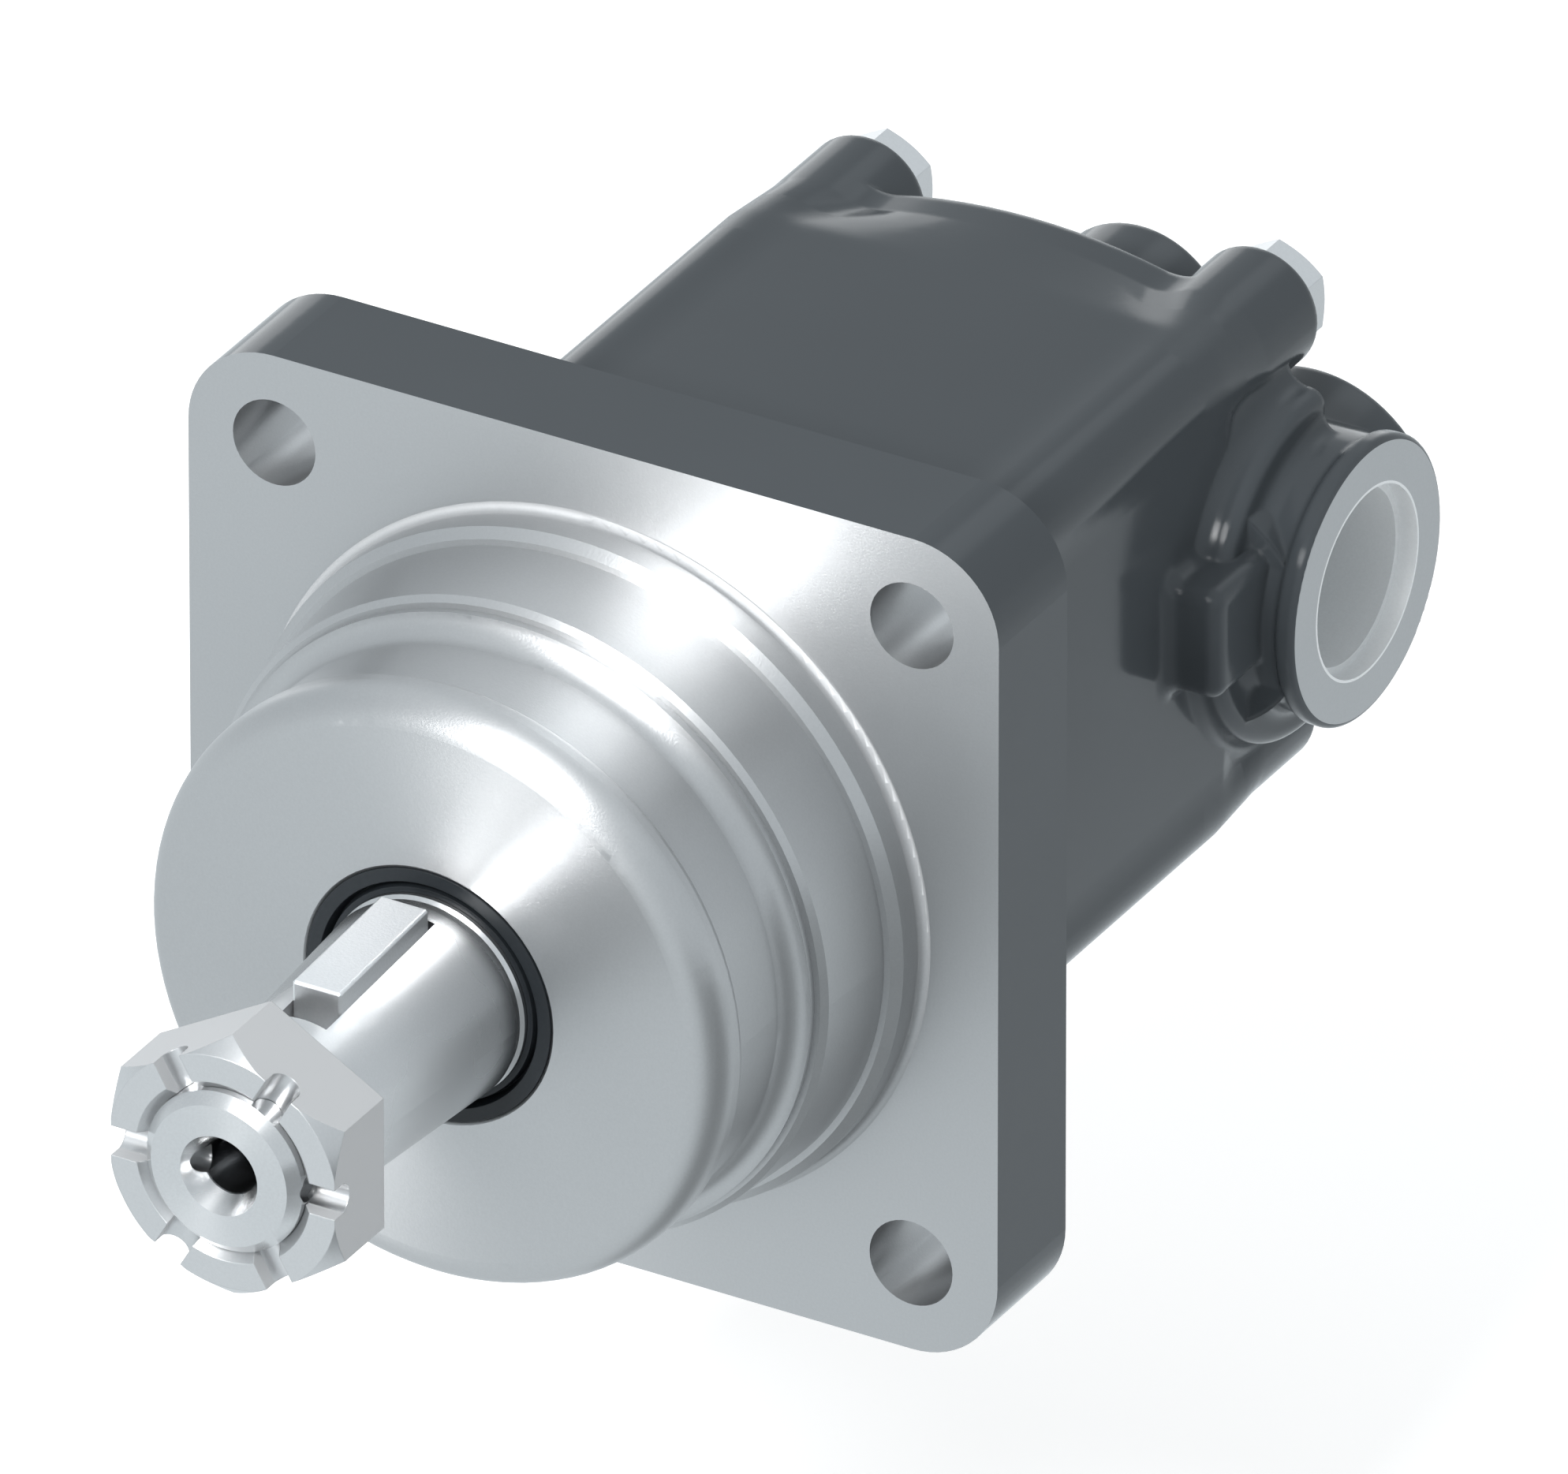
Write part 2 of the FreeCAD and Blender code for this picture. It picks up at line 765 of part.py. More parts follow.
def port_rim(body, name, face, port_y, side):
    """The neck of a port with its thicker, round-edged rim."""
    rim_back = face - d.port_rim_thick
    section = port_section(body, name + "_rim_section", port_y, [
        (side * port_root, zero),
        (side * face, zero),
        (side * face, d.port_boss_r - d.port_edge, "left" if side > 0 else "right", d.port_edge),
        (side * (face - d.port_edge), d.port_boss_r),
        (side * rim_back, d.port_boss_r),
        (side * (rim_back - d.port_boss_r + d.port_neck_r), d.port_neck_r),
        (side * port_root, d.port_neck_r),
    ])
    revolve(body, section, name + "_rim", axis="H_Axis")


def port_bore(body, name, face, port_y, side, floor):
    section = port_section(body, name + "_bore_section", port_y, [
        (side * floor, zero),
        (side * face, zero),
        (side * face, d.port_mouth_r),
        (side * (face - d.port_mouth_depth), d.port_mouth_r),
        (side * (face - d.port_mouth_depth), d.port_bore_r),
        (side * floor, d.port_bore_r),
    ])
    revolve(body, section, name + "_bore", axis="H_Axis", cut=True)


def drilling(body, name, start_x, end_x, y, radius):
    """A drilled hole along X."""
    section = port_section(body, name + "_section", y, [
        (start_x, zero), (end_x, zero), (end_x, radius), (start_x, radius)])
    revolve(body, section, name, axis="H_Axis", cut=True)


def rear_housing():
    body = new_body("rear_housing")
    casting(body)
    lug(body)
    port_base(body, "right_port", d.right_port_y, 1)
    port_base(body, "left_port", d.left_port_y, -1)
    rear_trim = cross_sketch(body, "rear_trim_outline", d.body_end)
    rectangle(rear_trim, -d.flange_side, d.flange_side, -d.flange_side, d.flange_side)
    pocket(body, rear_trim, "rear_trim", d.body_end)
    screw_bosses(body)
    lobes(body)
    port_rim(body, "right_port", right_port_face, d.right_port_y, 1)
    port_rim(body, "left_port", left_port_face, d.left_port_y, -1)
    cavity(body)
    right_floor = cavity_r + d.right_port_wall
    left_floor = cavity_r + d.left_port_wall
    port_bore(body, "right_port", right_port_face, d.right_port_y, 1, right_floor)
    drilling(body, "right_passage", -d.passage_reach, right_floor + d.drill_overlap,
             d.passage_y, d.passage_r)
    port_bore(body, "left_port", left_port_face, d.left_port_y, -1, left_floor)
    drilling(body, "left_passage", -left_floor - d.drill_overlap, -cavity_r + d.inlet_r,
             d.left_port_y, d.inlet_r)
    drain_bore(body)


def casting(body):
    """A square bar with full corners that hollows beside the screw bosses towards the rear."""
    front_pitch = (side_apex - d.front_corner_inset) * 2
    front = cross_sketch(body, "front_section", joint_face)
    casting_section(front, front_pitch, d.front_corner_r, d.front_side_r, d.front_blend_r)
    pad(body, front, "front_length", d.front_end - joint_face)
    change = cross_sketch(body, "change_section", d.front_end)
    casting_section(change, front_pitch, d.front_corner_r, d.front_side_r, d.front_blend_r)
    rear = cross_sketch(body, "rear_section", d.rear_start)
    casting_section(rear, screw_pitch, d.boss_r, d.rear_side_r, d.rear_blend_r)
    loft = body.newObject("PartDesign::AdditiveLoft", "hollowing")
    loft.Profile = change
    loft.Sections = [rear]
    loft.Ruled = True
    body.Tip = loft
    doc.recompute()
    tail = cross_sketch(body, "tail_section", d.rear_start)
    casting_section(tail, screw_pitch, d.boss_r, d.rear_side_r, d.rear_blend_r)
    pad(body, tail, "rear_length", d.body_end - d.rear_start)
    dress(body, "Fillet", "rear_rim", rim_edges(body, d.body_end), "Radius", d.rear_rim_r)


def screw_bosses(body):
    bosses = cross_sketch(body, "boss_places", d.rear_start)
    for x, z in four_corners(screw_pitch):
        circle(bosses, x, z, d.boss_r)
    pad(body, bosses, "screw_bosses", d.boss_end - d.rear_start)
    dress(body, "Fillet", "boss_rims", rim_edges(body, d.boss_end), "Radius", d.boss_round)


def lobes(body):
    side_lobe = cross_sketch(body, "side_lobe_place", d.lobe_start)
    circle(side_lobe, right_port_face - d.side_lobe_r, zero, d.side_lobe_r)
    pad(body, side_lobe, "side_lobe", d.lobe_end - d.lobe_start)
    top_lobe = cross_sketch(body, "top_lobe_place", d.top_lobe_start)
    circle(top_lobe, d.top_lobe_x, d.top_lobe_z, d.top_lobe_r)
    pad(body, top_lobe, "top_lobe", d.lobe_end - d.top_lobe_start)
    dress(body, "Fillet", "lobe_rims", rim_edges(body, d.lobe_end), "Radius", d.lobe_round)


def lug(body):
    """A cast block beside the right port, rounded all over and hollow at its foot."""
    root_x = side_apex - d.side_wall / 2
    face = side_apex + d.lug_rise
    start = d.lug_start
    block = cross_sketch(body, "lug_outline", start)
    rectangle(block, root_x, face, -d.lug_bottom, d.lug_top)
    pad(body, block, "lug", d.lug_end - start)
    corners = []
    for z in (d.lug_top, -d.lug_bottom):
        corners += edges_within(body, (root_x, face), (start, start), (z, z))
    dress(body, "Fillet", "lug_corners", corners, "Radius", d.lug_round)
    # From its front stretch each fillet runs on along both sides of the block
    front = (start, start + d.lug_round)
    tall = (-d.lug_bottom, d.lug_top)
    dress(body, "Fillet", "lug_rim", edges_within(body, (face, face), front, tall), "Radius", d.lug_round)
    foot = edges_within(body, (root_x, side_apex), front, tall)
    dress(body, "Fillet", "lug_foot", foot, "Radius", d.lug_foot_r)


def cavity(body):
    bored(body, "cavity", [
        (zero, joint_face),
        (cavity_r + d.cavity_chamfer, joint_face),
        (cavity_r, joint_face + d.cavity_chamfer),
        (cavity_r, cavity_floor),
        (d.well_r, cavity_floor),
        (d.well_r, d.passage_y),
        (zero, d.passage_y),
    ])
    groove_out = oring_groove_in + d.oring_groove_width
    bored(body, "oring_groove", [
        (oring_groove_in, joint_face),
        (groove_out, joint_face),
        (groove_out, joint_face + d.oring_groove_depth),
        (oring_groove_in, joint_face + d.oring_groove_depth),
    ])
    bolts = cross_sketch(body, "bolt_hole_places", joint_face)
    for x, z in four_corners(screw_pitch):
        circle(bolts, x, z, d.bolt_hole_r)
    pocket(body, bolts, "bolt_holes", d.boss_end - joint_face)


def drain_bore(body):
    for name, radius, depth in (
        ("drain_seat", d.drain_seal_r, d.drain_seal_depth),
        ("drain_thread", d.drain_r, d.drain_depth),
        ("drain_drill", d.drain_drill_r, d.lobe_end - cavity_floor),
    ):
        place = cross_sketch(body, name + "_place", d.lobe_end)
        circle(place, d.top_lobe_x, d.top_lobe_z, radius)
        pocket(body, place, name, depth, forward=True)


# Fasteners, plug and static seals

def cap_screws():
    body = new_body("cap_screws")
    head_front = d.boss_end + d.screw_washer_face
    head_back = d.boss_end + d.screw_head
    shanks = cross_sketch(body, "shank_places", d.screw_tip)
    washers = cross_sketch(body, "washer_face_places", d.boss_end)
    heads = cross_sketch(body, "head_places", head_front)
    for x, z in four_corners(screw_pitch):
        circle(shanks, x, z, d.screw_r)
        circle(washers, x, z, d.screw_washer_r)
        hexagon(heads, x, z, d.screw_across_flats)
    pad(body, shanks, "shanks", d.boss_end - d.screw_tip)
    pad(body, washers, "washer_faces", d.screw_washer_face)
    pad(body, heads, "heads", d.screw_head - d.screw_washer_face)
    beyond = d.screw_across_flats
    drop = (beyond - d.screw_face_r) * sine(d.screw_chamfer_turn) / cosine(d.screw_chamfer_turn)
    for x, z in four_corners(screw_pitch):
        chamfer = new_sketch(body, "head_chamfer_section", "XY_Plane", across=x, off=z)
        outline(chamfer, [(d.screw_face_r, head_back), (beyond, head_back), (beyond, head_back - drop)])
        revolve(body, chamfer, "head_chamfer", cut=True)


def drain_plug():
    head_back = d.lobe_end + d.drain_head_thick
    plug_end = d.lobe_end - d.drain_depth + d.drain_end_gap
    shank_r = d.drain_r - d.drain_thread_gap
    body = turned("drain_plug", [
        (zero, plug_end),
        (shank_r, plug_end),
        (shank_r, d.lobe_end),
        (d.drain_head_r, d.lobe_end),
        (d.drain_head_r, head_back - d.drain_head_edge),
        (d.drain_head_r - d.drain_head_edge, head_back),
        (zero, head_back),
    ])
    place_in_lobe(body)
    socket = cross_sketch(body, "socket_outline", head_back)
    hexagon(socket, zero, zero, d.drain_socket)
    pocket(body, socket, "socket", d.drain_socket_depth, forward=True)


def place_in_lobe(body):
    bind(body, ".Placement.Base.x", d.top_lobe_x)
    bind(body, ".Placement.Base.z", d.top_lobe_z)


def rubber_ring(label, ring_r, station, wire_r):
    body = new_body(label)
    sketch = new_sketch(body, label + "_section", "XY_Plane")
    circle(sketch, ring_r, station, wire_r)
    revolve(body, sketch, label + "_turned")
    return body


def static_seals():
    groove_middle = oring_groove_in + d.oring_groove_width / 2
    depth = d.oring_groove_depth
    rubber_ring("housing_oring", groove_middle, joint_face + depth / 2, depth / 2 - d.ring_seat_gap)
    wire_r = d.drain_seal_depth / 2 - d.ring_seat_gap
    ring = rubber_ring("drain_plug_oring", d.drain_r + wire_r + d.ring_seat_gap,
                       d.lobe_end - d.drain_seal_depth / 2, wire_r)
    place_in_lobe(ring)


# Shaft seal, its spring and its backup washer

def shaft_sealing():
    lip_r = d.shaft_seal_r + d.seal_lip_clearance
    lip_outer = lip_r + d.seal_lip_thick
    relief_r = lip_r + d.seal_lip_thick / 2
    turned("shaft_seal", [
        (d.seal_outer_r, nose_face),
        (d.seal_outer_r, seal_back),
        (d.seal_pocket_r, seal_back),
        (d.seal_pocket_r, nose_face + d.seal_web),
        (lip_outer, nose_face + d.seal_web),
        (lip_outer, seal_back - d.seal_edge),
        (lip_r, seal_back - d.seal_edge),
        (lip_r, seal_back - d.seal_edge * 3),
        (relief_r, seal_back - d.seal_edge * 4),
        (relief_r, nose_face + d.seal_edge * 4),
        (lip_r, nose_face + d.seal_edge * 3),
        (lip_r, nose_face + d.seal_edge),
        (lip_outer, nose_face + d.seal_edge),
        (lip_outer + d.seal_edge, nose_face + d.seal_groove_depth),
        (d.seal_collar_r, nose_face),
    ])
    spring_y = (nose_face + d.seal_web + seal_back) / 2
    rubber_ring("seal_garter_spring", lip_outer + d.spring_wire_r + d.ring_seat_gap,
                spring_y, d.spring_wire_r)
    turned("seal_backup_washer", [
        (d.shaft_seal_r + d.washer_clearance, seal_back),
        (d.seal_outer_r, seal_back),
        (d.seal_outer_r, washer_back),
        (d.shaft_seal_r + d.washer_clearance, washer_back),
    ])


# Tapered roller bearings: cup, cone, rollers and cage

class Bearing:
    """One bearing's lines. The roller axes and both raceways meet in one apex on the shaft axis."""

    def __init__(self, name, bore_r, pitch_r, roller_r, count, back, sense):
        self.name = name
        self.bore_r = bore_r
        self.pitch_r = pitch_r
        self.roller_r = roller_r
        self.count = count
        self.back = back
        self.sense = sense
        self.lean = sine(d.bearing_tilt)
        self.rise = cosine(d.bearing_tilt)
        half = d.bearing_roller_length / 2
        self.middle = self.station(d.bearing_roller_start + half * self.rise + roller_r * self.lean)
        self.apex = self.middle + sense * pitch_r * self.rise / self.lean
        reach = pitch_r / self.lean
        self.large_r = roller_r * (1 + half / reach)
        self.small_r = roller_r * (1 - half / reach)

    def station(self, distance):
        """The station at a distance from the back face of the cone."""
        return self.back + self.sense * distance

    def station_from_middle(self, distance):
        return self.middle + self.sense * distance

    def raceway(self, station, outward):
        """The radius of a raceway at a station: outward is 1 on the cup and -1 on the cone."""
        offset = d.bearing_play + self.roller_r
        touch_r = self.pitch_r + outward * offset * self.rise
        touch_y = self.middle + outward * self.sense * offset * self.lean
        return touch_r * (self.apex - station) / (self.apex - touch_y)

    def axis_r(self, station):
        return self.pitch_r * (self.apex - station) / (self.apex - self.middle)


def bearing_cup(bearing):
    front = bearing.station(d.bearing_total - d.bearing_cup_width)
    back = bearing.station(d.bearing_total)
    turned(bearing.name + "_bearing_cup", [
        (bearing.raceway(front, 1), front),
        (d.bearing_outer_r, front),
        (d.bearing_outer_r, back - bearing.sense * d.bearing_chamfer),
        (d.bearing_outer_r - d.bearing_chamfer, back),
        (bearing.raceway(back, 1), back),
    ])


def bearing_cone(bearing):
    rib_face = bearing.station(d.bearing_roller_start - d.bearing_play)
    small_rib = bearing.station(
        d.bearing_roller_start + d.bearing_roller_length * bearing.rise + d.bearing_small_rib_gap)
    front = bearing.station(d.bearing_cone_width)
    rib_r = bearing.raceway(rib_face, -1) + d.bearing_rib_height
    small_rib_r = bearing.raceway(small_rib, -1) + d.bearing_rib_height / 2
    turned(bearing.name + "_bearing_cone", [
        (bearing.bore_r, bearing.back),
        (rib_r, bearing.back),
        (rib_r, rib_face),
        (bearing.raceway(rib_face, -1), rib_face),
        (bearing.raceway(small_rib, -1), small_rib),
        (small_rib_r, small_rib),
        (small_rib_r, front),
        (bearing.bore_r, front),
    ])


def bearing_rollers(bearing):
    body = new_body(bearing.name + "_bearing_rollers")
    turn = d.bearing_tilt if bearing.sense > 0 else 180 - d.bearing_tilt
    sketch = new_sketch(body, "roller_section", "XY_Plane",
                        across=bearing.pitch_r, up=bearing.middle, turn=turn)
    half = d.bearing_roller_length / 2
    outline(sketch, [(zero, -half), (bearing.large_r, -half), (bearing.small_r, half), (zero, half)])
    roller = revolve(body, sketch, "roller_turned")
    patterned(body, [roller], "rollers_round", bearing.count)


def bearing_cage(bearing):
    """A sloping band with a straight-sided window for each roller."""
    half = d.bearing_roller_length / 2 * bearing.rise
    wide = bearing.station_from_middle(-half - d.cage_overhang)
    narrow = bearing.station_from_middle(half + d.cage_overhang)
    inner = d.cage_lift
    outer = d.cage_lift + d.cage_thick
    body = turned(bearing.name + "_bearing_cage", [
        (bearing.axis_r(wide) + inner, wide),
        (bearing.axis_r(wide) + outer, wide),
        (bearing.axis_r(narrow) + outer, narrow),
        (bearing.axis_r(narrow) + inner, narrow),
    ])
    start = bearing.station_from_middle(-half - d.cage_gap)
    end = bearing.station_from_middle(half + outer * bearing.lean + d.cage_gap)
    sketch = new_sketch(body, "window_outline", "YZ_Plane")
    outline(sketch, [
        (start, -bearing.large_r - d.cage_gap),
        (end, -bearing.small_r - d.cage_gap),
        (end, bearing.small_r + d.cage_gap),
        (start, bearing.large_r + d.cage_gap),
    ])
    window = pocket(body, sketch, "window", d.bearing_outer_r, forward=True)
    patterned(body, [window], "windows_round", bearing.count)


def bearings():
    for bearing in (
        Bearing("front", d.front_bore_r, d.bearing_outer_r - d.front_pitch_in, d.front_roller_r,
                d.front_roller_count, collar_front, -1),
        Bearing("rear", d.rear_bore_r, d.bearing_outer_r - d.rear_pitch_in, d.rear_roller_r,
                d.rear_roller_count, collar_rear, 1),
    ):
        bearing_cup(bearing)
        bearing_cone(bearing)
        bearing_rollers(bearing)
        bearing_cage(bearing)
    turned("bearing_spacer_ring", [
        (d.spacer_bore_r, rear_cup_back),
        (d.bearing_outer_r - d.stack_clearance, rear_cup_back),
        (d.bearing_outer_r - d.stack_clearance, joint_face),
        (d.spacer_bore_r, joint_face),
    ])


# Output shaft with its key, nut and retaining ring

def output_shaft():
    taper_end_r = d.taper_start_r - d.taper_length * d.taper_slope
    seat_front = collar_front - d.bearing_cone_width - d.seat_lead
    groove_front = collar_rear + d.bearing_cone_width + d.ring_clearance
    groove_back = groove_front + d.ring_thick + d.ring_clearance * 2
    groove_floor = d.rear_bore_r - d.ring_groove_depth
    edge = d.shaft_edge
    body = turned("output_shaft", [
        (zero, shaft_tip),
        (d.thread_r - d.shaft_tip_chamfer, shaft_tip),
        (d.thread_r, shaft_tip + d.shaft_tip_chamfer),
        (d.thread_r, taper_end - d.thread_relief_width),
        (d.thread_relief_r, taper_end - d.thread_relief_width),
        (d.thread_relief_r, taper_end),
        (taper_end_r, taper_end),
        (d.taper_start_r, taper_start),
        (d.undercut_r, taper_start),
        (d.undercut_r, shoulder_front),
        (d.shaft_seal_r - edge, shoulder_front),
        (d.shaft_seal_r, shoulder_front + edge),
        (d.shaft_seal_r, seat_front),
        (d.front_bore_r, seat_front),
        (d.front_bore_r, collar_front),
        (d.collar_r, collar_front),
        (d.collar_r, collar_rear),
        (d.rear_bore_r, collar_rear),
        (d.rear_bore_r, groove_front),
        (groove_floor, groove_front),
        (groove_floor, groove_back),
        (d.rear_bore_r, groove_back),
        (d.rear_bore_r, shaft_end - edge),
        (d.rear_bore_r - edge, shaft_end),
        (zero, shaft_end),
    ])
    bored(body, "centre_hole", [
        (zero, shaft_tip),
        (d.centre_sink_r, shaft_tip),
        (d.centre_hole_r, shaft_tip + d.centre_sink_depth),
        (d.centre_hole_r, shaft_tip + d.centre_hole_depth),
        (zero, shaft_tip + d.centre_hole_depth + d.centre_hole_r / 2),
    ])
    bored(body, "spline_socket", [
        (zero, shaft_end - d.socket_depth),
        (d.spline_minor_r, shaft_end - d.socket_depth),
        (d.spline_minor_r, shaft_end - d.socket_mouth_depth),
        (d.socket_mouth_r, shaft_end - d.socket_mouth_depth),
        (d.socket_mouth_r, shaft_end),
        (zero, shaft_end),
    ])
    spline_front = d.link_front - d.spline_length / 2
    broached(body, spline_front, d.spline_length)
    split_pin_hole(body)
    keyseat(body)


def broached(body, start, length):
    """Straight-sided spline spaces cut round a bore."""
    sketch = cross_sketch(body, "spline_space", start)
    half = d.spline_space / 2
    rectangle(sketch, d.spline_minor_r - half, d.spline_major_r, -half, half)
    space = pocket(body, sketch, "spline_cut", length)
    patterned(body, [space], "spline_round", d.spline_teeth)


def split_pin_hole(body):
    """The cross hole that lines up with a slot of the nut."""
    sketch = new_sketch(body, "pin_hole_place", "YZ_Plane")
    circle(sketch, shaft_tip + d.nut_from_tip + d.nut_slot_depth / 2, zero, d.pin_hole_r)
    pocket(body, sketch, "pin_hole", (d.thread_r + d.pin_hole_r) * 2, both_ways=True)


def key_line(station):
    """The height of the key's top, which runs parallel to the taper."""
    return d.key_top - (-d.key_start - station) * d.taper_slope


def keyseat(body):
    rear = -d.key_start + d.keyseat_rear_run
    front = -d.key_start - d.key_length - d.keyseat_front_run
    above = d.key_top + d.key_height
    sketch = new_sketch(body, "keyseat_outline", "YZ_Plane")
    outline(sketch, [
        (front, key_line(front) - d.key_height),
        (rear, key_line(rear) - d.key_height),
        (rear, above),
        (front, above),
    ])
    pocket(body, sketch, "keyseat", d.key_width + d.key_side_clearance * 2, both_ways=True)


def shaft_key():
    body = new_body("shaft_key")
    rear = -d.key_start
    front = rear - d.key_length
    sketch = new_sketch(body, "key_outline", "YZ_Plane")
    outline(sketch, [
        (front, key_line(front) - d.key_height),
        (rear, key_line(rear) - d.key_height),
        (rear, key_line(rear)),
        (front, key_line(front)),
    ])
    pad(body, sketch, "key_bar", d.key_width, both_ways=True)
    every = ["Edge%d" % number for number in range(1, len(body.Tip.Shape.Edges) + 1)]
    dress(body, "Chamfer", "key_edges", every, "Size", d.key_chamfer)


def slotted_nut():
    body = new_body("slotted_nut")
    front = shaft_tip + d.nut_from_tip
    back = front + d.nut_thick
    corner_r = d.nut_across_flats / math.sqrt(3)
    bore_r = d.thread_r + d.nut_thread_gap
    beyond = corner_r + d.nut_chamfer_depth
    steepness = d.nut_chamfer_depth / (corner_r - d.nut_face_r)
    hexagonal = cross_sketch(body, "nut_outline", front)
    hexagon(hexagonal, zero, zero, d.nut_across_flats)
    pad(body, hexagonal, "nut_hexagon", d.nut_thick)
    bored(body, "nut_corner_chamfer", [
        (d.nut_face_r, front),
        (beyond, front),
        (beyond, front + (beyond - d.nut_face_r) * steepness),
    ])
    bored(body, "nut_bore", [
        (zero, front),
        (d.nut_sink_r, front),
        (bore_r, front + d.nut_sink_depth),
        (bore_r, back),
        (zero, back),
    ])
    half = d.nut_slot_width / 2
    floor = front + d.nut_slot_depth
    slot_sketch = new_sketch(body, "slot_outline", "YZ_Plane")
    outline(slot_sketch, [
        (front - half, -half),
        (floor - half, -half, "left", d.nut_slot_bottom_r),
        (floor - half, half),
        (front - half, half),
    ])
    slot = pocket(body, slot_sketch, "slot", d.nut_across_flats)
    patterned(body, [slot], "slots_round", d.nut_slots)


def shaft_retaining_ring():
    front = collar_rear + d.bearing_cone_width + d.ring_clearance * 2
    back = front + d.ring_thick
    inner_r = d.rear_bore_r - d.ring_groove_depth + d.ring_clearance
    outer_r = d.rear_bore_r + d.ring_stand
    body = turned("shaft_retaining_ring", [
        (inner_r, front), (outer_r, front), (outer_r, back), (inner_r, back)])
    sketch = cross_sketch(body, "ring_opening", front)
    rectangle(sketch, -d.ring_opening / 2, d.ring_opening / 2, zero, outer_r + d.ring_stand)
    pocket(body, sketch, "opening", d.ring_thick)


# Stack of plates round the rotor set and the commutator

def around_rotor(radius, step):
    """A place on a circle, where whole steps are the rollers and half steps lie between them."""
    angle = math.radians(270 + 360 / ROLLERS * step)
    return radius * math.cos(angle), radius * math.sin(angle)


def dowel_holes(body, start, length):
    sketch = cross_sketch(body, body.Label + "_dowel_places", start)
    for step in DOWEL_STEPS:
        circle(sketch, *around_rotor(d.dowel_pitch_r, step), d.dowel_r + d.dowel_gap)
    pocket(body, sketch, body.Label + "_dowel_holes", length)


def plate(label, bore_r, front, back):
    return turned(label, [(bore_r, front), (stack_r, front), (stack_r, back), (bore_r, back)])


def wear_plate():
    body = plate("wear_plate", d.wear_plate_bore_r, joint_face, stator_front)
    dowel_holes(body, stator_front - d.dowel_bite, d.dowel_bite)


def stator_ring():
    body = plate("stator_ring", d.stator_bore_r, stator_front, manifold_front)
    sketch = cross_sketch(body, "roller_pocket_place", stator_front)
    circle(sketch, *around_rotor(d.roller_pitch_r, 0), d.roller_r + d.roller_gap)
    cut = pocket(body, sketch, "roller_pocket", d.stator_thick)
    patterned(body, [cut], "roller_pockets_round", d.roller_count)
    dowel_holes(body, stator_front, d.stator_thick)


def manifold_plate():
    body = plate("manifold_plate", d.manifold_bore_r, manifold_front, valve_front)
    sketch = cross_sketch(body, "timing_hole_place", manifold_front)
    circle(sketch, *around_rotor(d.manifold_hole_pitch_r, 0.5), d.manifold_hole_r)
    cut = pocket(body, sketch, "timing_hole", d.manifold_thick)
    patterned(body, [cut], "timing_holes_round", d.roller_count)
    dowel_holes(body, manifold_front, d.manifold_thick)


def commutator_ring():
    bore_r = d.commutator_r + valve_offset + d.commutator_swing_gap
    floor_r = stack_r - d.ring_channel_depth
    half = d.ring_channel_width / 2
    body = turned("commutator_ring", [
        (bore_r, valve_front),
        (stack_r, valve_front),
        (stack_r, valve_centre - half),
        (floor_r, valve_centre - half),
        (floor_r, valve_centre + half),
        (stack_r, valve_centre + half),
        (stack_r, end_plate_front),
        (bore_r, end_plate_front),
    ])
    sketch = new_sketch(body, "ring_port_place", "YZ_Plane")
    circle(sketch, valve_centre, zero, d.ring_port_r)
    port = pocket(body, sketch, "ring_port", stack_r + d.ring_port_r, forward=True)
    patterned(body, [port], "ring_ports_round", d.ring_ports)
    dowel_holes(body, valve_front, d.commutator_thick)


def end_plate():
    body = plate("end_plate", d.end_plate_bore_r, end_plate_front, end_plate_back)
    dowel_holes(body, end_plate_front, d.dowel_bite)


def plate_spring():
    thick = d.plate_spring_thick
    turned("plate_spring", [
        (d.plate_spring_in, end_plate_back),
        (d.plate_spring_out, cavity_floor - thick),
        (d.plate_spring_out, cavity_floor),
        (d.plate_spring_in, end_plate_back + thick),
    ])


def stack_dowels():
    body = new_body("stack_dowels")
    sketch = cross_sketch(body, "dowel_places", stator_front - d.dowel_bite)
    for step in DOWEL_STEPS:
        circle(sketch, *around_rotor(d.dowel_pitch_r, step), d.dowel_r)
    pad(body, sketch, "dowels", d.dowel_bite * 2 + end_plate_front - stator_front)


# Rotor set: rollers, lobed rotor and the drive link

def rollers():
    for number in range(ROLLERS):
        body = new_body("roller_%d" % (number + 1))
        sketch = cross_sketch(body, "roller_outline", stator_front + d.face_gap)
        circle(sketch, zero, zero, d.roller_r)
        pad(body, sketch, "roller_length", d.stator_thick - d.face_gap * 2)
        x, z = around_rotor(d.roller_pitch_r, number)
        bind(body, ".Placement.Base.x", x)
        bind(body, ".Placement.Base.z", z)


def lobe_point(turn):
    """A point of the rotor's outline: the path of a roller's centre, set in by the roller."""
    teeth = ROLLERS
    pitch = sheet.roller_pitch_r
    swing = sheet.eccentricity
    inset = sheet.roller_r + sheet.roller_gap
    path_x = pitch * math.cos(turn) + swing * math.cos(teeth * turn)
    path_z = pitch * math.sin(turn) + swing * math.sin(teeth * turn)
    way_x = -pitch * math.sin(turn) - teeth * swing * math.sin(teeth * turn)
    way_z = pitch * math.cos(turn) + teeth * swing * math.cos(teeth * turn)
    length = math.hypot(way_x, way_z)
    return FreeCAD.Vector(path_x - inset * way_z / length, 0, path_z + inset * way_x / length)


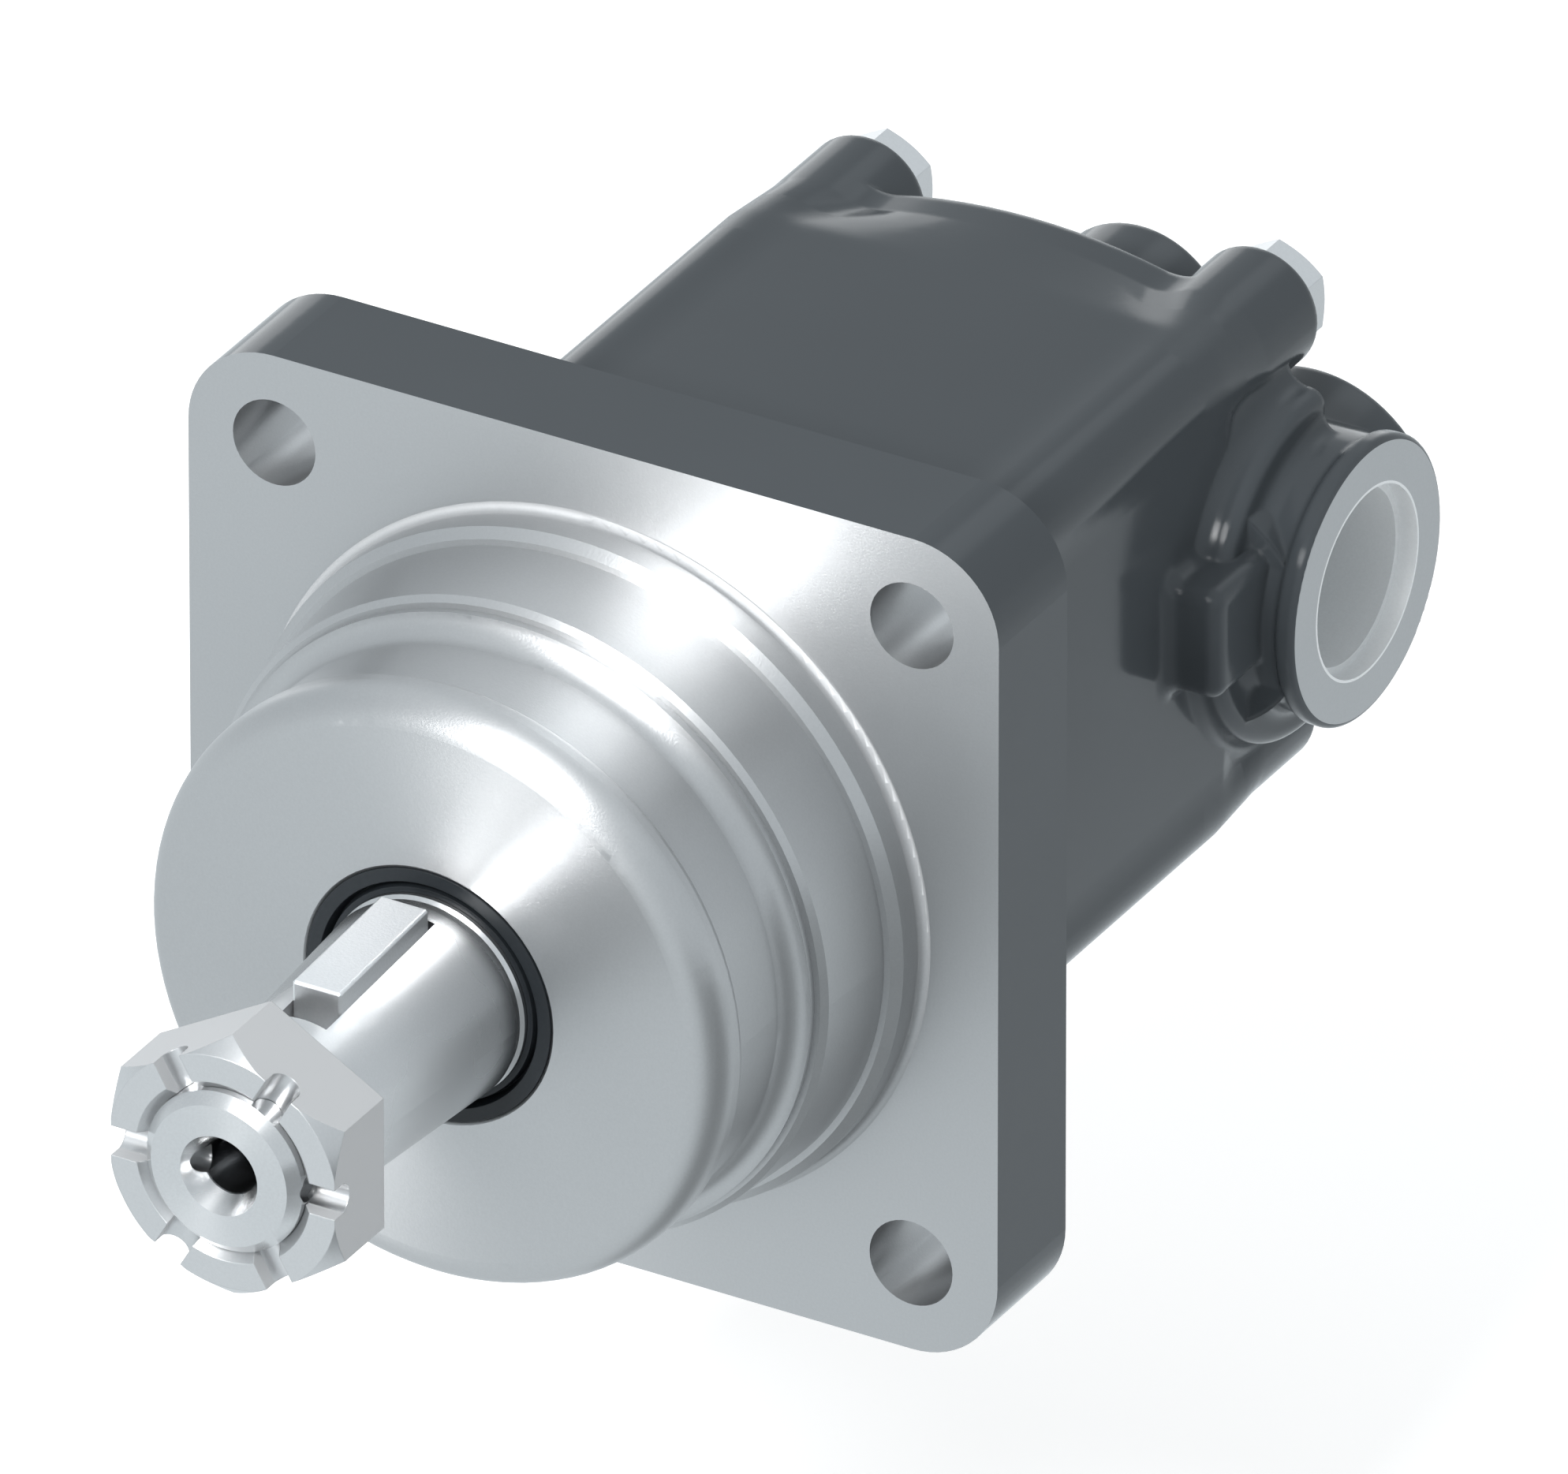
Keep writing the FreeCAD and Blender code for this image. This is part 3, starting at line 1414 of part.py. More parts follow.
def rotor_blank():
    """The lobed bar that the rotor is broached from."""
    count = (ROLLERS - 1) * POINTS_PER_LOBE
    curve = Part.BSplineCurve()
    curve.interpolate([lobe_point(2 * math.pi * step / count) for step in range(count)], True)
    face = Part.Face(Part.Wire([curve.toShape()]))
    length = sheet.stator_thick - 2 * sheet.face_gap
    blank = doc.addObject("Part::Feature", "rotor_blank")
    blank.Shape = face.extrude(FreeCAD.Vector(0, length, 0))
    return blank


def rotor():
    body = new_body("rotor")
    body.BaseFeature = rotor_blank()
    doc.recompute()
    length = d.stator_thick - d.face_gap * 2
    bored(body, "rotor_bore", [
        (zero, zero), (d.spline_minor_r, zero), (d.spline_minor_r, length), (zero, length)])
    broached(body, zero, length)
    bind(body, ".Placement.Base.y", stator_front + d.face_gap)
    bind(body, ".Placement.Base.z", -d.eccentricity)


def drive_link():
    """A link with two crowned spline heads and a round nose, tilted from the shaft to the rotor."""
    half = d.link_head_length / 2
    crown_r = (half * half + d.link_head_crown * d.link_head_crown) / (d.link_head_crown * 2)
    head_r = d.spline_major_r - d.link_clearance
    head_edge_r = head_r - d.link_head_crown
    to_rotor = root(link_span * link_span + d.eccentricity * d.eccentricity)
    to_nose = to_rotor * (valve_centre - d.link_front) / link_span
    neck = root(d.link_nose_r * d.link_nose_r - d.link_tail_r * d.link_tail_r)
    blend = d.link_shank_r - d.link_tail_r
    body = turned("drive_link", [
        (zero, -half - d.link_end_chamfer),
        (d.link_shank_r, -half - d.link_end_chamfer),
        (d.link_shank_r, -half),
        (head_edge_r, -half, "left", crown_r),
        (head_edge_r, half),
        (d.link_shank_r, half),
        (d.link_shank_r, to_rotor - half),
        (head_edge_r, to_rotor - half, "left", crown_r),
        (head_edge_r, to_rotor + half),
        (d.link_shank_r, to_rotor + half),
        (d.link_tail_r, to_rotor + half + blend),
        (d.link_tail_r, to_nose - neck, "left", d.link_nose_r),
        (d.link_tail_r, to_nose + neck),
        (zero, to_nose + neck),
    ])
    tooth_spaces(body, -half - d.link_end_chamfer, to_rotor + d.link_head_length + d.link_end_chamfer)
    bind(body, ".Placement.Base.y", d.link_front)
    body.Placement.Rotation = FreeCAD.Rotation(FreeCAD.Vector(-1, 0, 0), 1)
    tilt = "atan(%s / %s)" % (d.eccentricity.formula, link_span.formula)
    body.setExpression(".Placement.Rotation.Angle", tilt)


def tooth_spaces(body, start, length):
    """Cut the spaces between the link's teeth, whose flanks are parallel."""
    half_tooth = d.spline_space / 2 - d.link_clearance
    foot_r = d.spline_minor_r - d.link_clearance
    foot_x = root(foot_r * foot_r - half_tooth * half_tooth)
    tip_x = d.spline_major_r + half_tooth
    pitch = 2 * math.pi / SPLINE_TEETH
    flank = [(foot_x, half_tooth), (tip_x, half_tooth)]
    # The other flank is the first one seen in the line that halves the space
    mirrored = [(x * math.cos(pitch) + z * math.sin(pitch), x * math.sin(pitch) - z * math.cos(pitch))
                for x, z in flank]
    sketch = cross_sketch(body, "tooth_space", start)
    outline(sketch, flank + mirrored[::-1])
    space = pocket(body, sketch, "tooth_space_cut", length)
    patterned(body, [space], "tooth_spaces_round", d.spline_teeth)


# Commutator, which the nose of the link swings round inside its ring

def commutator():
    front = valve_front + d.face_gap
    back = end_plate_front - d.face_gap
    seal_out = d.commutator_seal_in + d.commutator_seal_width
    bore_r = d.link_nose_r + d.link_nose_gap
    body = turned("commutator", [
        (bore_r, front),
        (d.commutator_recess_in, front),
        (d.commutator_recess_in, front + d.commutator_recess_depth),
        (d.commutator_recess_out, front + d.commutator_recess_depth),
        (d.commutator_recess_out, front),
        (d.commutator_r, front),
        (d.commutator_r, back),
        (seal_out, back),
        (seal_out, back - d.commutator_seal_depth),
        (d.commutator_seal_in, back - d.commutator_seal_depth),
        (d.commutator_seal_in, back),
        (bore_r, back),
    ])
    sketch = cross_sketch(body, "feed_hole_place", front)
    circle(sketch, (d.commutator_recess_in + d.commutator_recess_out) / 2, zero, d.commutator_hole_r)
    hole = pocket(body, sketch, "feed_hole", d.commutator_thick)
    patterned(body, [hole], "feed_holes_round", d.commutator_holes)
    bind(body, ".Placement.Base.z", -valve_offset)
    gap = d.ring_seat_gap
    ring = turned("commutator_seal", [
        (d.commutator_seal_in + gap, back - d.commutator_seal_depth),
        (seal_out - gap, back - d.commutator_seal_depth),
        (seal_out - gap, back),
        (d.commutator_seal_in + gap, back),
    ])
    bind(ring, ".Placement.Base.z", -valve_offset)


def check_document():
    """Stop if any object failed or any piece has no sound shape."""
    doc.recompute()
    for item in doc.Objects:
        if "Invalid" in item.State or "Error" in item.State:
            raise RuntimeError("%s is %s" % (item.Label, item.State))
    for body in finished:
        if body.Shape.isNull() or not body.Shape.isValid():
            raise RuntimeError(body.Label + " has no valid shape")


def write_pieces():
    os.makedirs("parts", exist_ok=True)
    for body in finished:
        body.Shape.exportStep("parts/%s.step" % body.Label)
        print(body.Label, len(body.Shape.Solids), round(body.Shape.Volume, 1))


for make in (
    front_housing, rear_housing, cap_screws, drain_plug, static_seals, shaft_sealing, bearings,
    output_shaft, shaft_key, slotted_nut, shaft_retaining_ring, wear_plate, stator_ring,
    manifold_plate, commutator_ring, end_plate, plate_spring, stack_dowels, rollers, rotor,
    drive_link, commutator,
):
    make()
check_document()
write_pieces()
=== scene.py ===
import bpy
import bmesh
import math
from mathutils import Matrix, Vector

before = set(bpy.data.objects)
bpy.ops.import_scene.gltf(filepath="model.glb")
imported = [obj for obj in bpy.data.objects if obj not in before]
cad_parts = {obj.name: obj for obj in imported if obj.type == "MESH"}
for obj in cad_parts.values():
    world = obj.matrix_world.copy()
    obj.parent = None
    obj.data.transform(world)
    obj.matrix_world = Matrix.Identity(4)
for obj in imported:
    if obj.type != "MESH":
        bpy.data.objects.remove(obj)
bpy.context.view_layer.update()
print("frame loaded:", len(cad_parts), "nodes")


def newMaterial(name):
    material = bpy.data.materials.new(name)
    material.use_nodes = True
    nodes, links = material.node_tree.nodes, material.node_tree.links
    nodes.clear()
    output = nodes.new("ShaderNodeOutputMaterial")
    shader = nodes.new("ShaderNodeBsdfPrincipled")
    links.new(shader.outputs[0], output.inputs["Surface"])
    return material, nodes, links, shader


def feed(links, slot, value):
    # gives an input a number, a colour or another node's output
    if isinstance(value, (int, float)):
        slot.default_value = value
    elif isinstance(value, tuple):
        slot.default_value = (*value, 1)
    else:
        links.new(value, slot)


def calc(nodes, links, operation, *values):
    node = nodes.new("ShaderNodeMath")
    node.operation = operation
    for slot, value in zip(node.inputs, values):
        feed(links, slot, value)
    return node.outputs[0]


def allOf(nodes, links, *tests):
    # 1 where every test holds; a test is an operation, a value and its limit
    mask = 1.0
    for operation, value, limit in tests:
        held = calc(nodes, links, operation, value, limit)
        mask = calc(nodes, links, "MULTIPLY", held, mask)
    return mask


def length2(nodes, links, first, second):
    squares = [calc(nodes, links, "MULTIPLY", part, part) for part in (first, second)]
    return calc(nodes, links, "SQRT", calc(nodes, links, "ADD", *squares))


def place(nodes):
    return nodes.new("ShaderNodeTexCoord").outputs["Object"]


def parted(nodes, links, vector):
    split = nodes.new("ShaderNodeSeparateXYZ")
    links.new(vector, split.inputs[0])
    return split.outputs[:3]


def slopeAlong(nodes, links):
    # how far a surface faces along the shaft axis, either way
    normal = parted(nodes, links, nodes.new("ShaderNodeNewGeometry").outputs["Normal"])
    return calc(nodes, links, "ABSOLUTE", normal[1])


def noise(nodes, links, vector, scale, detail=2.0, rough=0.5):
    node = nodes.new("ShaderNodeTexNoise")
    node.inputs["Scale"].default_value = scale
    node.inputs["Detail"].default_value = detail
    node.inputs["Roughness"].default_value = rough
    links.new(vector, node.inputs["Vector"])
    return node.outputs["Fac"]


def ramp(nodes, links, value, stops):
    node = nodes.new("ShaderNodeValToRGB")
    while len(node.color_ramp.elements) < len(stops):
        node.color_ramp.elements.new(0.5)
    for element, (position, colour) in zip(node.color_ramp.elements, stops):
        element.position = position
        element.color = (*colour, 1)
    links.new(value, node.inputs[0])
    return node.outputs[0]


def mapRange(nodes, links, value, limits, results, kind="LINEAR"):
    node = nodes.new("ShaderNodeMapRange")
    node.interpolation_type = kind
    for name, number in zip(("From Min", "From Max", "To Min", "To Max"), (*limits, *results)):
        node.inputs[name].default_value = number
    links.new(value, node.inputs["Value"])
    return node.outputs[0]


def blend(nodes, links, kind, factor, first, second):
    # mixes two numbers, vectors or colours
    node = nodes.new("ShaderNodeMix")
    node.data_type = kind
    start, result = dict(FLOAT=(2, 0), VECTOR=(4, 1), RGBA=(6, 2))[kind]
    links.new(factor, node.inputs["Factor"])
    feed(links, node.inputs[start], first)
    feed(links, node.inputs[start + 1], second)
    return node.outputs[result]


def bump(nodes, links, height, strength, distance, normal=None):
    node = nodes.new("ShaderNodeBump")
    node.inputs["Strength"].default_value = strength
    node.inputs["Distance"].default_value = distance
    links.new(height, node.inputs["Height"])
    if normal is not None:
        links.new(normal, node.inputs["Normal"])
    return node.outputs[0]


def softEdge(nodes, links, radius):
    node = nodes.new("ShaderNodeBevel")
    node.samples = 4
    feed(links, node.inputs["Radius"], radius)
    return node.outputs[0]


def shades(colour, shares):
    # a darker and a lighter shade of one colour
    return [tuple(min(part * share, 1.0) for part in colour) for share in shares]


def varied(nodes, links, pattern, middle, spread):
    return calc(nodes, links, "MULTIPLY_ADD", pattern, spread, middle - spread / 2)


def giveSurface(links, shader, surface):
    for value, slot in zip(surface, ("Base Color", "Roughness", "Normal")):
        links.new(value, shader.inputs[slot])


# metals: colour, roughness, size of the grain in metres, depth of the grain, radius of worn edges,
# how far the reflections stretch across the turning marks, and how metallic it is
plainMetal = dict(edge=0.0, turned=0.0, metallic=1.0)
castIron = dict(
    turnedIron=dict(plainMetal, colour=(0.51, 0.515, 0.52), rough=0.37, grain=0.00040, depth=0.14,
                    turned=0.75),
    faceIron=dict(plainMetal, colour=(0.43, 0.435, 0.44), rough=0.40, grain=0.00035, depth=0.06,
                  edge=0.0002),
    boreIron=dict(plainMetal, colour=(0.75, 0.77, 0.78), rough=0.50, grain=0.00040, depth=0.25,
                  metallic=0.35),
)
steel = dict(
    turnedSteel=dict(plainMetal, colour=(0.64, 0.645, 0.65), rough=0.27, grain=0.00030, depth=0.05,
                     turned=0.6),
    nutSteel=dict(plainMetal, colour=(0.60, 0.605, 0.61), rough=0.30, grain=0.00040, depth=0.04,
                  edge=0.0002),
    keySteel=dict(plainMetal, colour=(0.90, 0.905, 0.91), rough=0.33, grain=0.00040, depth=0.30,
                  edge=0.0003),
    groundSteel=dict(plainMetal, colour=(0.58, 0.59, 0.60), rough=0.18, grain=0.00025, depth=0.03,
                     turned=0.3),
    plainSteel=dict(plainMetal, colour=(0.42, 0.43, 0.44), rough=0.38, grain=0.00050, depth=0.06),
    screwSteel=dict(plainMetal, colour=(0.56, 0.565, 0.57), rough=0.34, grain=0.00050, depth=0.05,
                    edge=0.0002),
    cageSteel=dict(plainMetal, colour=(0.34, 0.35, 0.36), rough=0.42, grain=0.00060, depth=0.06),
)
# the grain that all metals share: shades of the colour, their contrast and start, the scale and
# spread of the wider pattern in the roughness, and the height of the grain beside its size
metalGrain = dict(shades=(0.90, 1.08), contrast=0.7, start=0.15, detail=3.0, fineness=0.6,
                  wideScale=45.0, roughSpread=0.06, height=0.3, turnedAngle=0.25)
# paint of the castings
paint = dict(colour=(0.054, 0.062, 0.069), rough=0.13, specular=0.20, lumps=0.0022, depth=0.025,
             edge=0.0012, shades=(0.95, 1.05), wideScale=30.0, roughSpread=0.05, height=0.0003)
# the top and the underside turn hollow at one station, where their edge is softened more
softCrease = dict(station=0.1076, reach=0.006, height=0.030, edge=0.0045)
# rubber of the seal and the rings
rubber = dict(colour=(0.013, 0.016, 0.019), rough=0.40, specular=0.25, grain=0.0006, depth=0.06,
              edge=0.0002, shades=(0.8, 1.2), roughSpread=0.08, height=0.0001)


def metalSurface(nodes, links, finish):
    # colour, roughness and normal of a machined surface with a fine grain
    where = place(nodes)
    fine = noise(nodes, links, where, 1 / finish["grain"],
                 metalGrain["detail"], metalGrain["fineness"])
    wide = noise(nodes, links, where, metalGrain["wideScale"])
    share = calc(nodes, links, "MULTIPLY_ADD", fine, metalGrain["contrast"], metalGrain["start"])
    colour = blend(nodes, links, "RGBA", share, *shades(finish["colour"], metalGrain["shades"]))
    rough = varied(nodes, links, wide, finish["rough"], metalGrain["roughSpread"])
    worn = softEdge(nodes, links, finish["edge"]) if finish["edge"] else None
    normal = bump(nodes, links, fine, finish["depth"], finish["grain"] * metalGrain["height"], worn)
    return colour, rough, normal


def creaseEdge(nodes, links, edge):
    # radius of the soft edge: wider on the top and the underside near the station of the crease
    x, y, z = parted(nodes, links, place(nodes))
    away = calc(nodes, links, "ABSOLUTE",
                calc(nodes, links, "SUBTRACT", y, softCrease["station"]))
    near = allOf(nodes, links, ("LESS_THAN", away, softCrease["reach"]),
                 ("GREATER_THAN", calc(nodes, links, "ABSOLUTE", z), softCrease["height"]))
    return calc(nodes, links, "MULTIPLY_ADD", near, softCrease["edge"] - edge, edge)


def paintSurface(nodes, links, finish):
    where = place(nodes)
    lumps = noise(nodes, links, where, 1 / finish["lumps"])
    wide = noise(nodes, links, where, finish["wideScale"])
    colour = blend(nodes, links, "RGBA", wide, *shades(finish["colour"], finish["shades"]))
    rough = varied(nodes, links, lumps, finish["rough"], finish["roughSpread"])
    worn = None
    if finish["edge"]:
        worn = softEdge(nodes, links, creaseEdge(nodes, links, finish["edge"]))
    return colour, rough, bump(nodes, links, lumps, finish["depth"], finish["height"], worn)


def rubberSurface(nodes, links, finish):
    grain = noise(nodes, links, place(nodes), 1 / finish["grain"])
    colour = blend(nodes, links, "RGBA", grain, *shades(finish["colour"], finish["shades"]))
    rough = varied(nodes, links, grain, finish["rough"], finish["roughSpread"])
    worn = softEdge(nodes, links, finish["edge"])
    return colour, rough, bump(nodes, links, grain, finish["depth"], finish["height"], worn)


def giveTurning(nodes, links, shader, stretch):
    # reflections stretch across marks that run round the shaft axis
    x, y, z = parted(nodes, links, place(nodes))
    joined = nodes.new("ShaderNodeCombineXYZ")
    links.new(z, joined.inputs[0])
    links.new(calc(nodes, links, "MULTIPLY", x, -1.0), joined.inputs[2])
    links.new(joined.outputs[0], shader.inputs["Tangent"])
    feed(links, shader.inputs["Anisotropic"], stretch)
    shader.inputs["Anisotropic Rotation"].default_value = metalGrain["turnedAngle"]


# places where a steel is painted darker: painted shade on the nut's flats, which are rough too,
# and painted shade on the wall of the shaft's centre hole
# painted shade: the nut's flats get a darker colour and less metal, which dims the glint they catch
shadedNutFlats = dict(mostSlope=0.35, colour=(0.50, 0.51, 0.52), leastRough=0.70, metallic=0.4)
# painted shade: the wall of the shaft's centre hole gets a dark colour
shadedCentreHole = dict(radius=0.0044, front=-0.1024, back=-0.08, colour=(0.14, 0.145, 0.15),
                  leastRough=0.0, metallic=1.0)


def onShadedNutFlats(nodes, links):
    return calc(nodes, links, "LESS_THAN", slopeAlong(nodes, links), shadedNutFlats["mostSlope"])


def inShadedCentreHole(nodes, links):
    x, y, z = parted(nodes, links, place(nodes))
    return allOf(nodes, links, ("LESS_THAN", length2(nodes, links, x, z), shadedCentreHole["radius"]),
                 ("GREATER_THAN", y, shadedCentreHole["front"]), ("LESS_THAN", y, shadedCentreHole["back"]))


darker = dict(nutSteel=(onShadedNutFlats, shadedNutFlats), turnedSteel=(inShadedCentreHole, shadedCentreHole))


def metalMaterial(name, finish):
    material, nodes, links, shader = newMaterial(name)
    shader.inputs["Metallic"].default_value = finish["metallic"]
    colour, rough, normal = metalSurface(nodes, links, finish)
    if name in darker:
        makeMask, spot = darker[name]
        mask = makeMask(nodes, links)
        # painted shade: the colour turns darker within the mask
        colour = blend(nodes, links, "RGBA", mask, colour, spot["colour"])
        rough = calc(nodes, links, "MAXIMUM", rough,
                     calc(nodes, links, "MULTIPLY", mask, spot["leastRough"]))
        links.new(calc(nodes, links, "MULTIPLY_ADD", mask, spot["metallic"] - 1.0, 1.0),
                  shader.inputs["Metallic"])
    giveSurface(links, shader, (colour, rough, normal))
    if finish["turned"]:
        giveTurning(nodes, links, shader, finish["turned"])
    return material


def rubberMaterial(name, finish):
    material, nodes, links, shader = newMaterial(name)
    shader.inputs["Specular IOR Level"].default_value = finish["specular"]
    giveSurface(links, shader, rubberSurface(nodes, links, finish))
    return material


def castMaterial(name, coat, layers):
    # painted casting with bare machined places; each layer is a mask and the metal that it bares
    material, nodes, links, shader = newMaterial(name)
    shader.inputs["Specular IOR Level"].default_value = coat["specular"]
    surface = paintSurface(nodes, links, coat)
    amounts = dict(metallic=0.0, turned=0.0)
    for makeMask, metal in layers:
        mask = makeMask(nodes, links)
        over = metalSurface(nodes, links, metal)
        surface = [blend(nodes, links, kind, mask, *pair)
                   for kind, *pair in zip(("RGBA", "FLOAT", "VECTOR"), surface, over)]
        rest = calc(nodes, links, "SUBTRACT", 1.0, mask)
        for key, amount in amounts.items():
            amounts[key] = calc(nodes, links, "MULTIPLY_ADD", mask, metal[key],
                                calc(nodes, links, "MULTIPLY", rest, amount))
    giveSurface(links, shader, surface)
    links.new(amounts["metallic"], shader.inputs["Metallic"])
    giveTurning(nodes, links, shader, amounts["turned"])
    return material


# front housing: bare in front of the flange's rear edge, painted on the flange's sides and back
flange = dict(half=0.06635, corner=0.014, edgeMargin=0.00025, sideSlope=0.7, back=0.0192)


def flangeBare(nodes, links):
    x, y, z = parted(nodes, links, place(nodes))
    straight = flange["half"] - flange["corner"]
    beyond = [calc(nodes, links, "SUBTRACT", calc(nodes, links, "ABSOLUTE", value), straight)
              for value in (x, z)]
    far = length2(nodes, links, *(calc(nodes, links, "MAXIMUM", value, 0.0) for value in beyond))
    near = calc(nodes, links, "MINIMUM", calc(nodes, links, "MAXIMUM", *beyond), 0.0)
    # distance from the rounded square's outline, below zero inside it
    distance = calc(nodes, links, "SUBTRACT", calc(nodes, links, "ADD", far, near),
                    flange["corner"])
    onSide = allOf(nodes, links, ("GREATER_THAN", distance, -flange["edgeMargin"]),
                   ("LESS_THAN", slopeAlong(nodes, links), flange["sideSlope"]))
    onBack = calc(nodes, links, "GREATER_THAN", y, flange["back"])
    painted = calc(nodes, links, "MAXIMUM", onSide, onBack)
    return calc(nodes, links, "SUBTRACT", 1.0, painted)


# the small round at the pilot's root, which is only a soft line
root = dict(near=0.0538, far=0.0553, front=-0.0013, back=0.0002)


def rootRound(nodes, links):
    x, y, z = parted(nodes, links, place(nodes))
    away = length2(nodes, links, x, z)
    return allOf(nodes, links,
                 ("GREATER_THAN", away, root["near"]), ("LESS_THAN", away, root["far"]),
                 ("GREATER_THAN", y, root["front"]), ("LESS_THAN", y, root["back"]))


# rear housing: bare on the two port faces, inside the ports and inside the bores
ports = dict(rightFace=0.0570, leftFace=0.0563, rim=0.0211, hole=0.0150, rightY=0.1224,
             leftY=0.0981, depth=0.0365, cavity=0.0358, cavityEnd=0.1122)


def portMask(nodes, links, radius, leastRight, leastLeft):
    # 1 within a radius of either port's axis and beyond a distance from the shaft axis
    x, y, z = parted(nodes, links, place(nodes))
    masks = []
    rightPort = (ports["rightY"], 1.0, leastRight)
    leftPort = (ports["leftY"], -1.0, leastLeft)
    for station, side, least in (rightPort, leftPort):
        away = length2(nodes, links, calc(nodes, links, "SUBTRACT", y, station), z)
        out = calc(nodes, links, "MULTIPLY", x, side)
        masks.append(allOf(nodes, links, ("LESS_THAN", away, radius), ("GREATER_THAN", out, least)))
    return calc(nodes, links, "MAXIMUM", *masks)


def portFaceBare(nodes, links):
    return portMask(nodes, links, ports["rim"], ports["rightFace"], ports["leftFace"])


def hollowBare(nodes, links):
    x, y, z = parted(nodes, links, place(nodes))
    inPort = portMask(nodes, links, ports["hole"], ports["depth"], ports["depth"])
    inBore = allOf(nodes, links, ("LESS_THAN", length2(nodes, links, x, z), ports["cavity"]),
                   ("LESS_THAN", y, ports["cavityEnd"]))
    return calc(nodes, links, "MAXIMUM", inPort, inBore)


finish = {name: metalMaterial(name, look) for name, look in steel.items()}
finish["sealRubber"] = rubberMaterial("sealRubber", rubber)
# the flange's edges are sharp, and the pilot's root has neither grain nor turning marks
flangePaint = dict(paint, edge=0.0)
rootIron = dict(castIron["turnedIron"], rough=0.65, depth=0.0, turned=0.0)
finish["frontCasting"] = castMaterial("frontCasting", flangePaint, [
    (flangeBare, castIron["turnedIron"]), (rootRound, rootIron)])
finish["rearCasting"] = castMaterial("rearCasting", paint, [
    (portFaceBare, castIron["faceIron"]), (hollowBare, castIron["boreIron"])])

nodesOf = dict(
    frontCasting=["front_housing"],
    rearCasting=["rear_housing"],
    screwSteel=["cap_screws", "drain_plug"],
    sealRubber=["housing_oring", "drain_plug_oring", "shaft_seal", "commutator_seal"],
    groundSteel=["seal_garter_spring", "front_bearing_cup", "rear_bearing_cup", "stack_dowels",
                 "front_bearing_cone", "rear_bearing_cone", "front_bearing_rollers",
                 "rear_bearing_rollers", *("roller_%d" % number for number in range(1, 8))],
    plainSteel=["seal_backup_washer", "bearing_spacer_ring", "wear_plate", "stator_ring",
                "manifold_plate", "commutator_ring", "end_plate", "plate_spring",
                "shaft_retaining_ring", "commutator", "drive_link"],
    turnedSteel=["output_shaft", "rotor"],
    keySteel=["shaft_key"],
    nutSteel=["slotted_nut"],
    cageSteel=["front_bearing_cage", "rear_bearing_cage"],
)
for look, names in nodesOf.items():
    for name in names:
        for slot in bpy.data.objects[name].material_slots:
            slot.material = finish[look]
print("finishes given to", sum(len(names) for names in nodesOf.values()), "nodes")


# floor: pale and plain below the held motor; what metal and paint mirror of it is dark towards the
# front right
floorLook = dict(height=-0.16, size=30.0, tone=0.96, rough=0.95, lift=0.32,
                 mirrorColour=(0.89, 0.96, 1.0), mirrorPale=1.0, mirrorDark=0.38,
                 darkTowards=-18.0, darkHalf=34.0, darkEdge=0.02, leastLength=0.001)

grid = bmesh.new()
bmesh.ops.create_grid(grid, x_segments=1, y_segments=1, size=floorLook["size"] / 2)
mesh = bpy.data.meshes.new("floor")
grid.to_mesh(mesh)
grid.free()
floor = bpy.data.objects.new("floor", mesh)
floor.location = (0, 0, floorLook["height"])
bpy.context.scene.collection.objects.link(floor)
material, nodes, links, shader = newMaterial("paleFloor")
feed(links, shader.inputs["Base Color"], (floorLook["tone"],) * 3)
shader.inputs["Roughness"].default_value = floorLook["rough"]
shader.inputs["Specular IOR Level"].default_value = 0.0
feed(links, shader.inputs["Emission Color"], (1, 1, 1))
rays = nodes.new("ShaderNodeLightPath").outputs
links.new(calc(nodes, links, "MULTIPLY", rays["Is Camera Ray"], floorLook["lift"]),
          shader.inputs["Emission Strength"])
floorX, floorY = parted(nodes, links, place(nodes))[:2]
towards = math.radians(floorLook["darkTowards"])
along = calc(nodes, links, "ADD", calc(nodes, links, "MULTIPLY", floorX, math.cos(towards)),
             calc(nodes, links, "MULTIPLY", floorY, math.sin(towards)))
flatLength = calc(nodes, links, "MAXIMUM", length2(nodes, links, floorX, floorY),
                  floorLook["leastLength"])
cosine = calc(nodes, links, "DIVIDE", along, flatLength)
edgeAt = math.cos(math.radians(floorLook["darkHalf"]))
edgeLimits = (edgeAt - floorLook["darkEdge"], edgeAt + floorLook["darkEdge"])
mirrorFloor = nodes.new("ShaderNodeEmission")
feed(links, mirrorFloor.inputs["Color"], floorLook["mirrorColour"])
mirrorStrengths = (floorLook["mirrorPale"], floorLook["mirrorDark"])
links.new(mapRange(nodes, links, cosine, edgeLimits, mirrorStrengths),
          mirrorFloor.inputs["Strength"])


def chosenBy(nodes, links, ray, otherwise, chosen):
    node = nodes.new("ShaderNodeMixShader")
    for slot, value in zip(node.inputs, (ray, otherwise.outputs[0], chosen.outputs[0])):
        links.new(value, slot)
    return node


links.new(chosenBy(nodes, links, rays["Is Glossy Ray"], shader, mirrorFloor).outputs[0],
          nodes["Material Output"].inputs["Surface"])
mesh.materials.append(material)

# surroundings: white behind the part, soft light, and for polished surfaces an even sky with a
# brighter patch behind and above, which draws a streak along round bare metal
sky = dict(white=(1, 1, 1), soft=(0.97, 0.99, 1.0), softStrength=0.70,
           mirrored=((0.0, (0.80, 0.86, 0.90)), (0.50, (0.73, 0.79, 0.83)),
                     (0.80, (0.86, 0.92, 0.96))),
           patch=(0.05, 0.75, 0.66), patchInner=4.0, patchOuter=14.0, patchGlow=0.8)

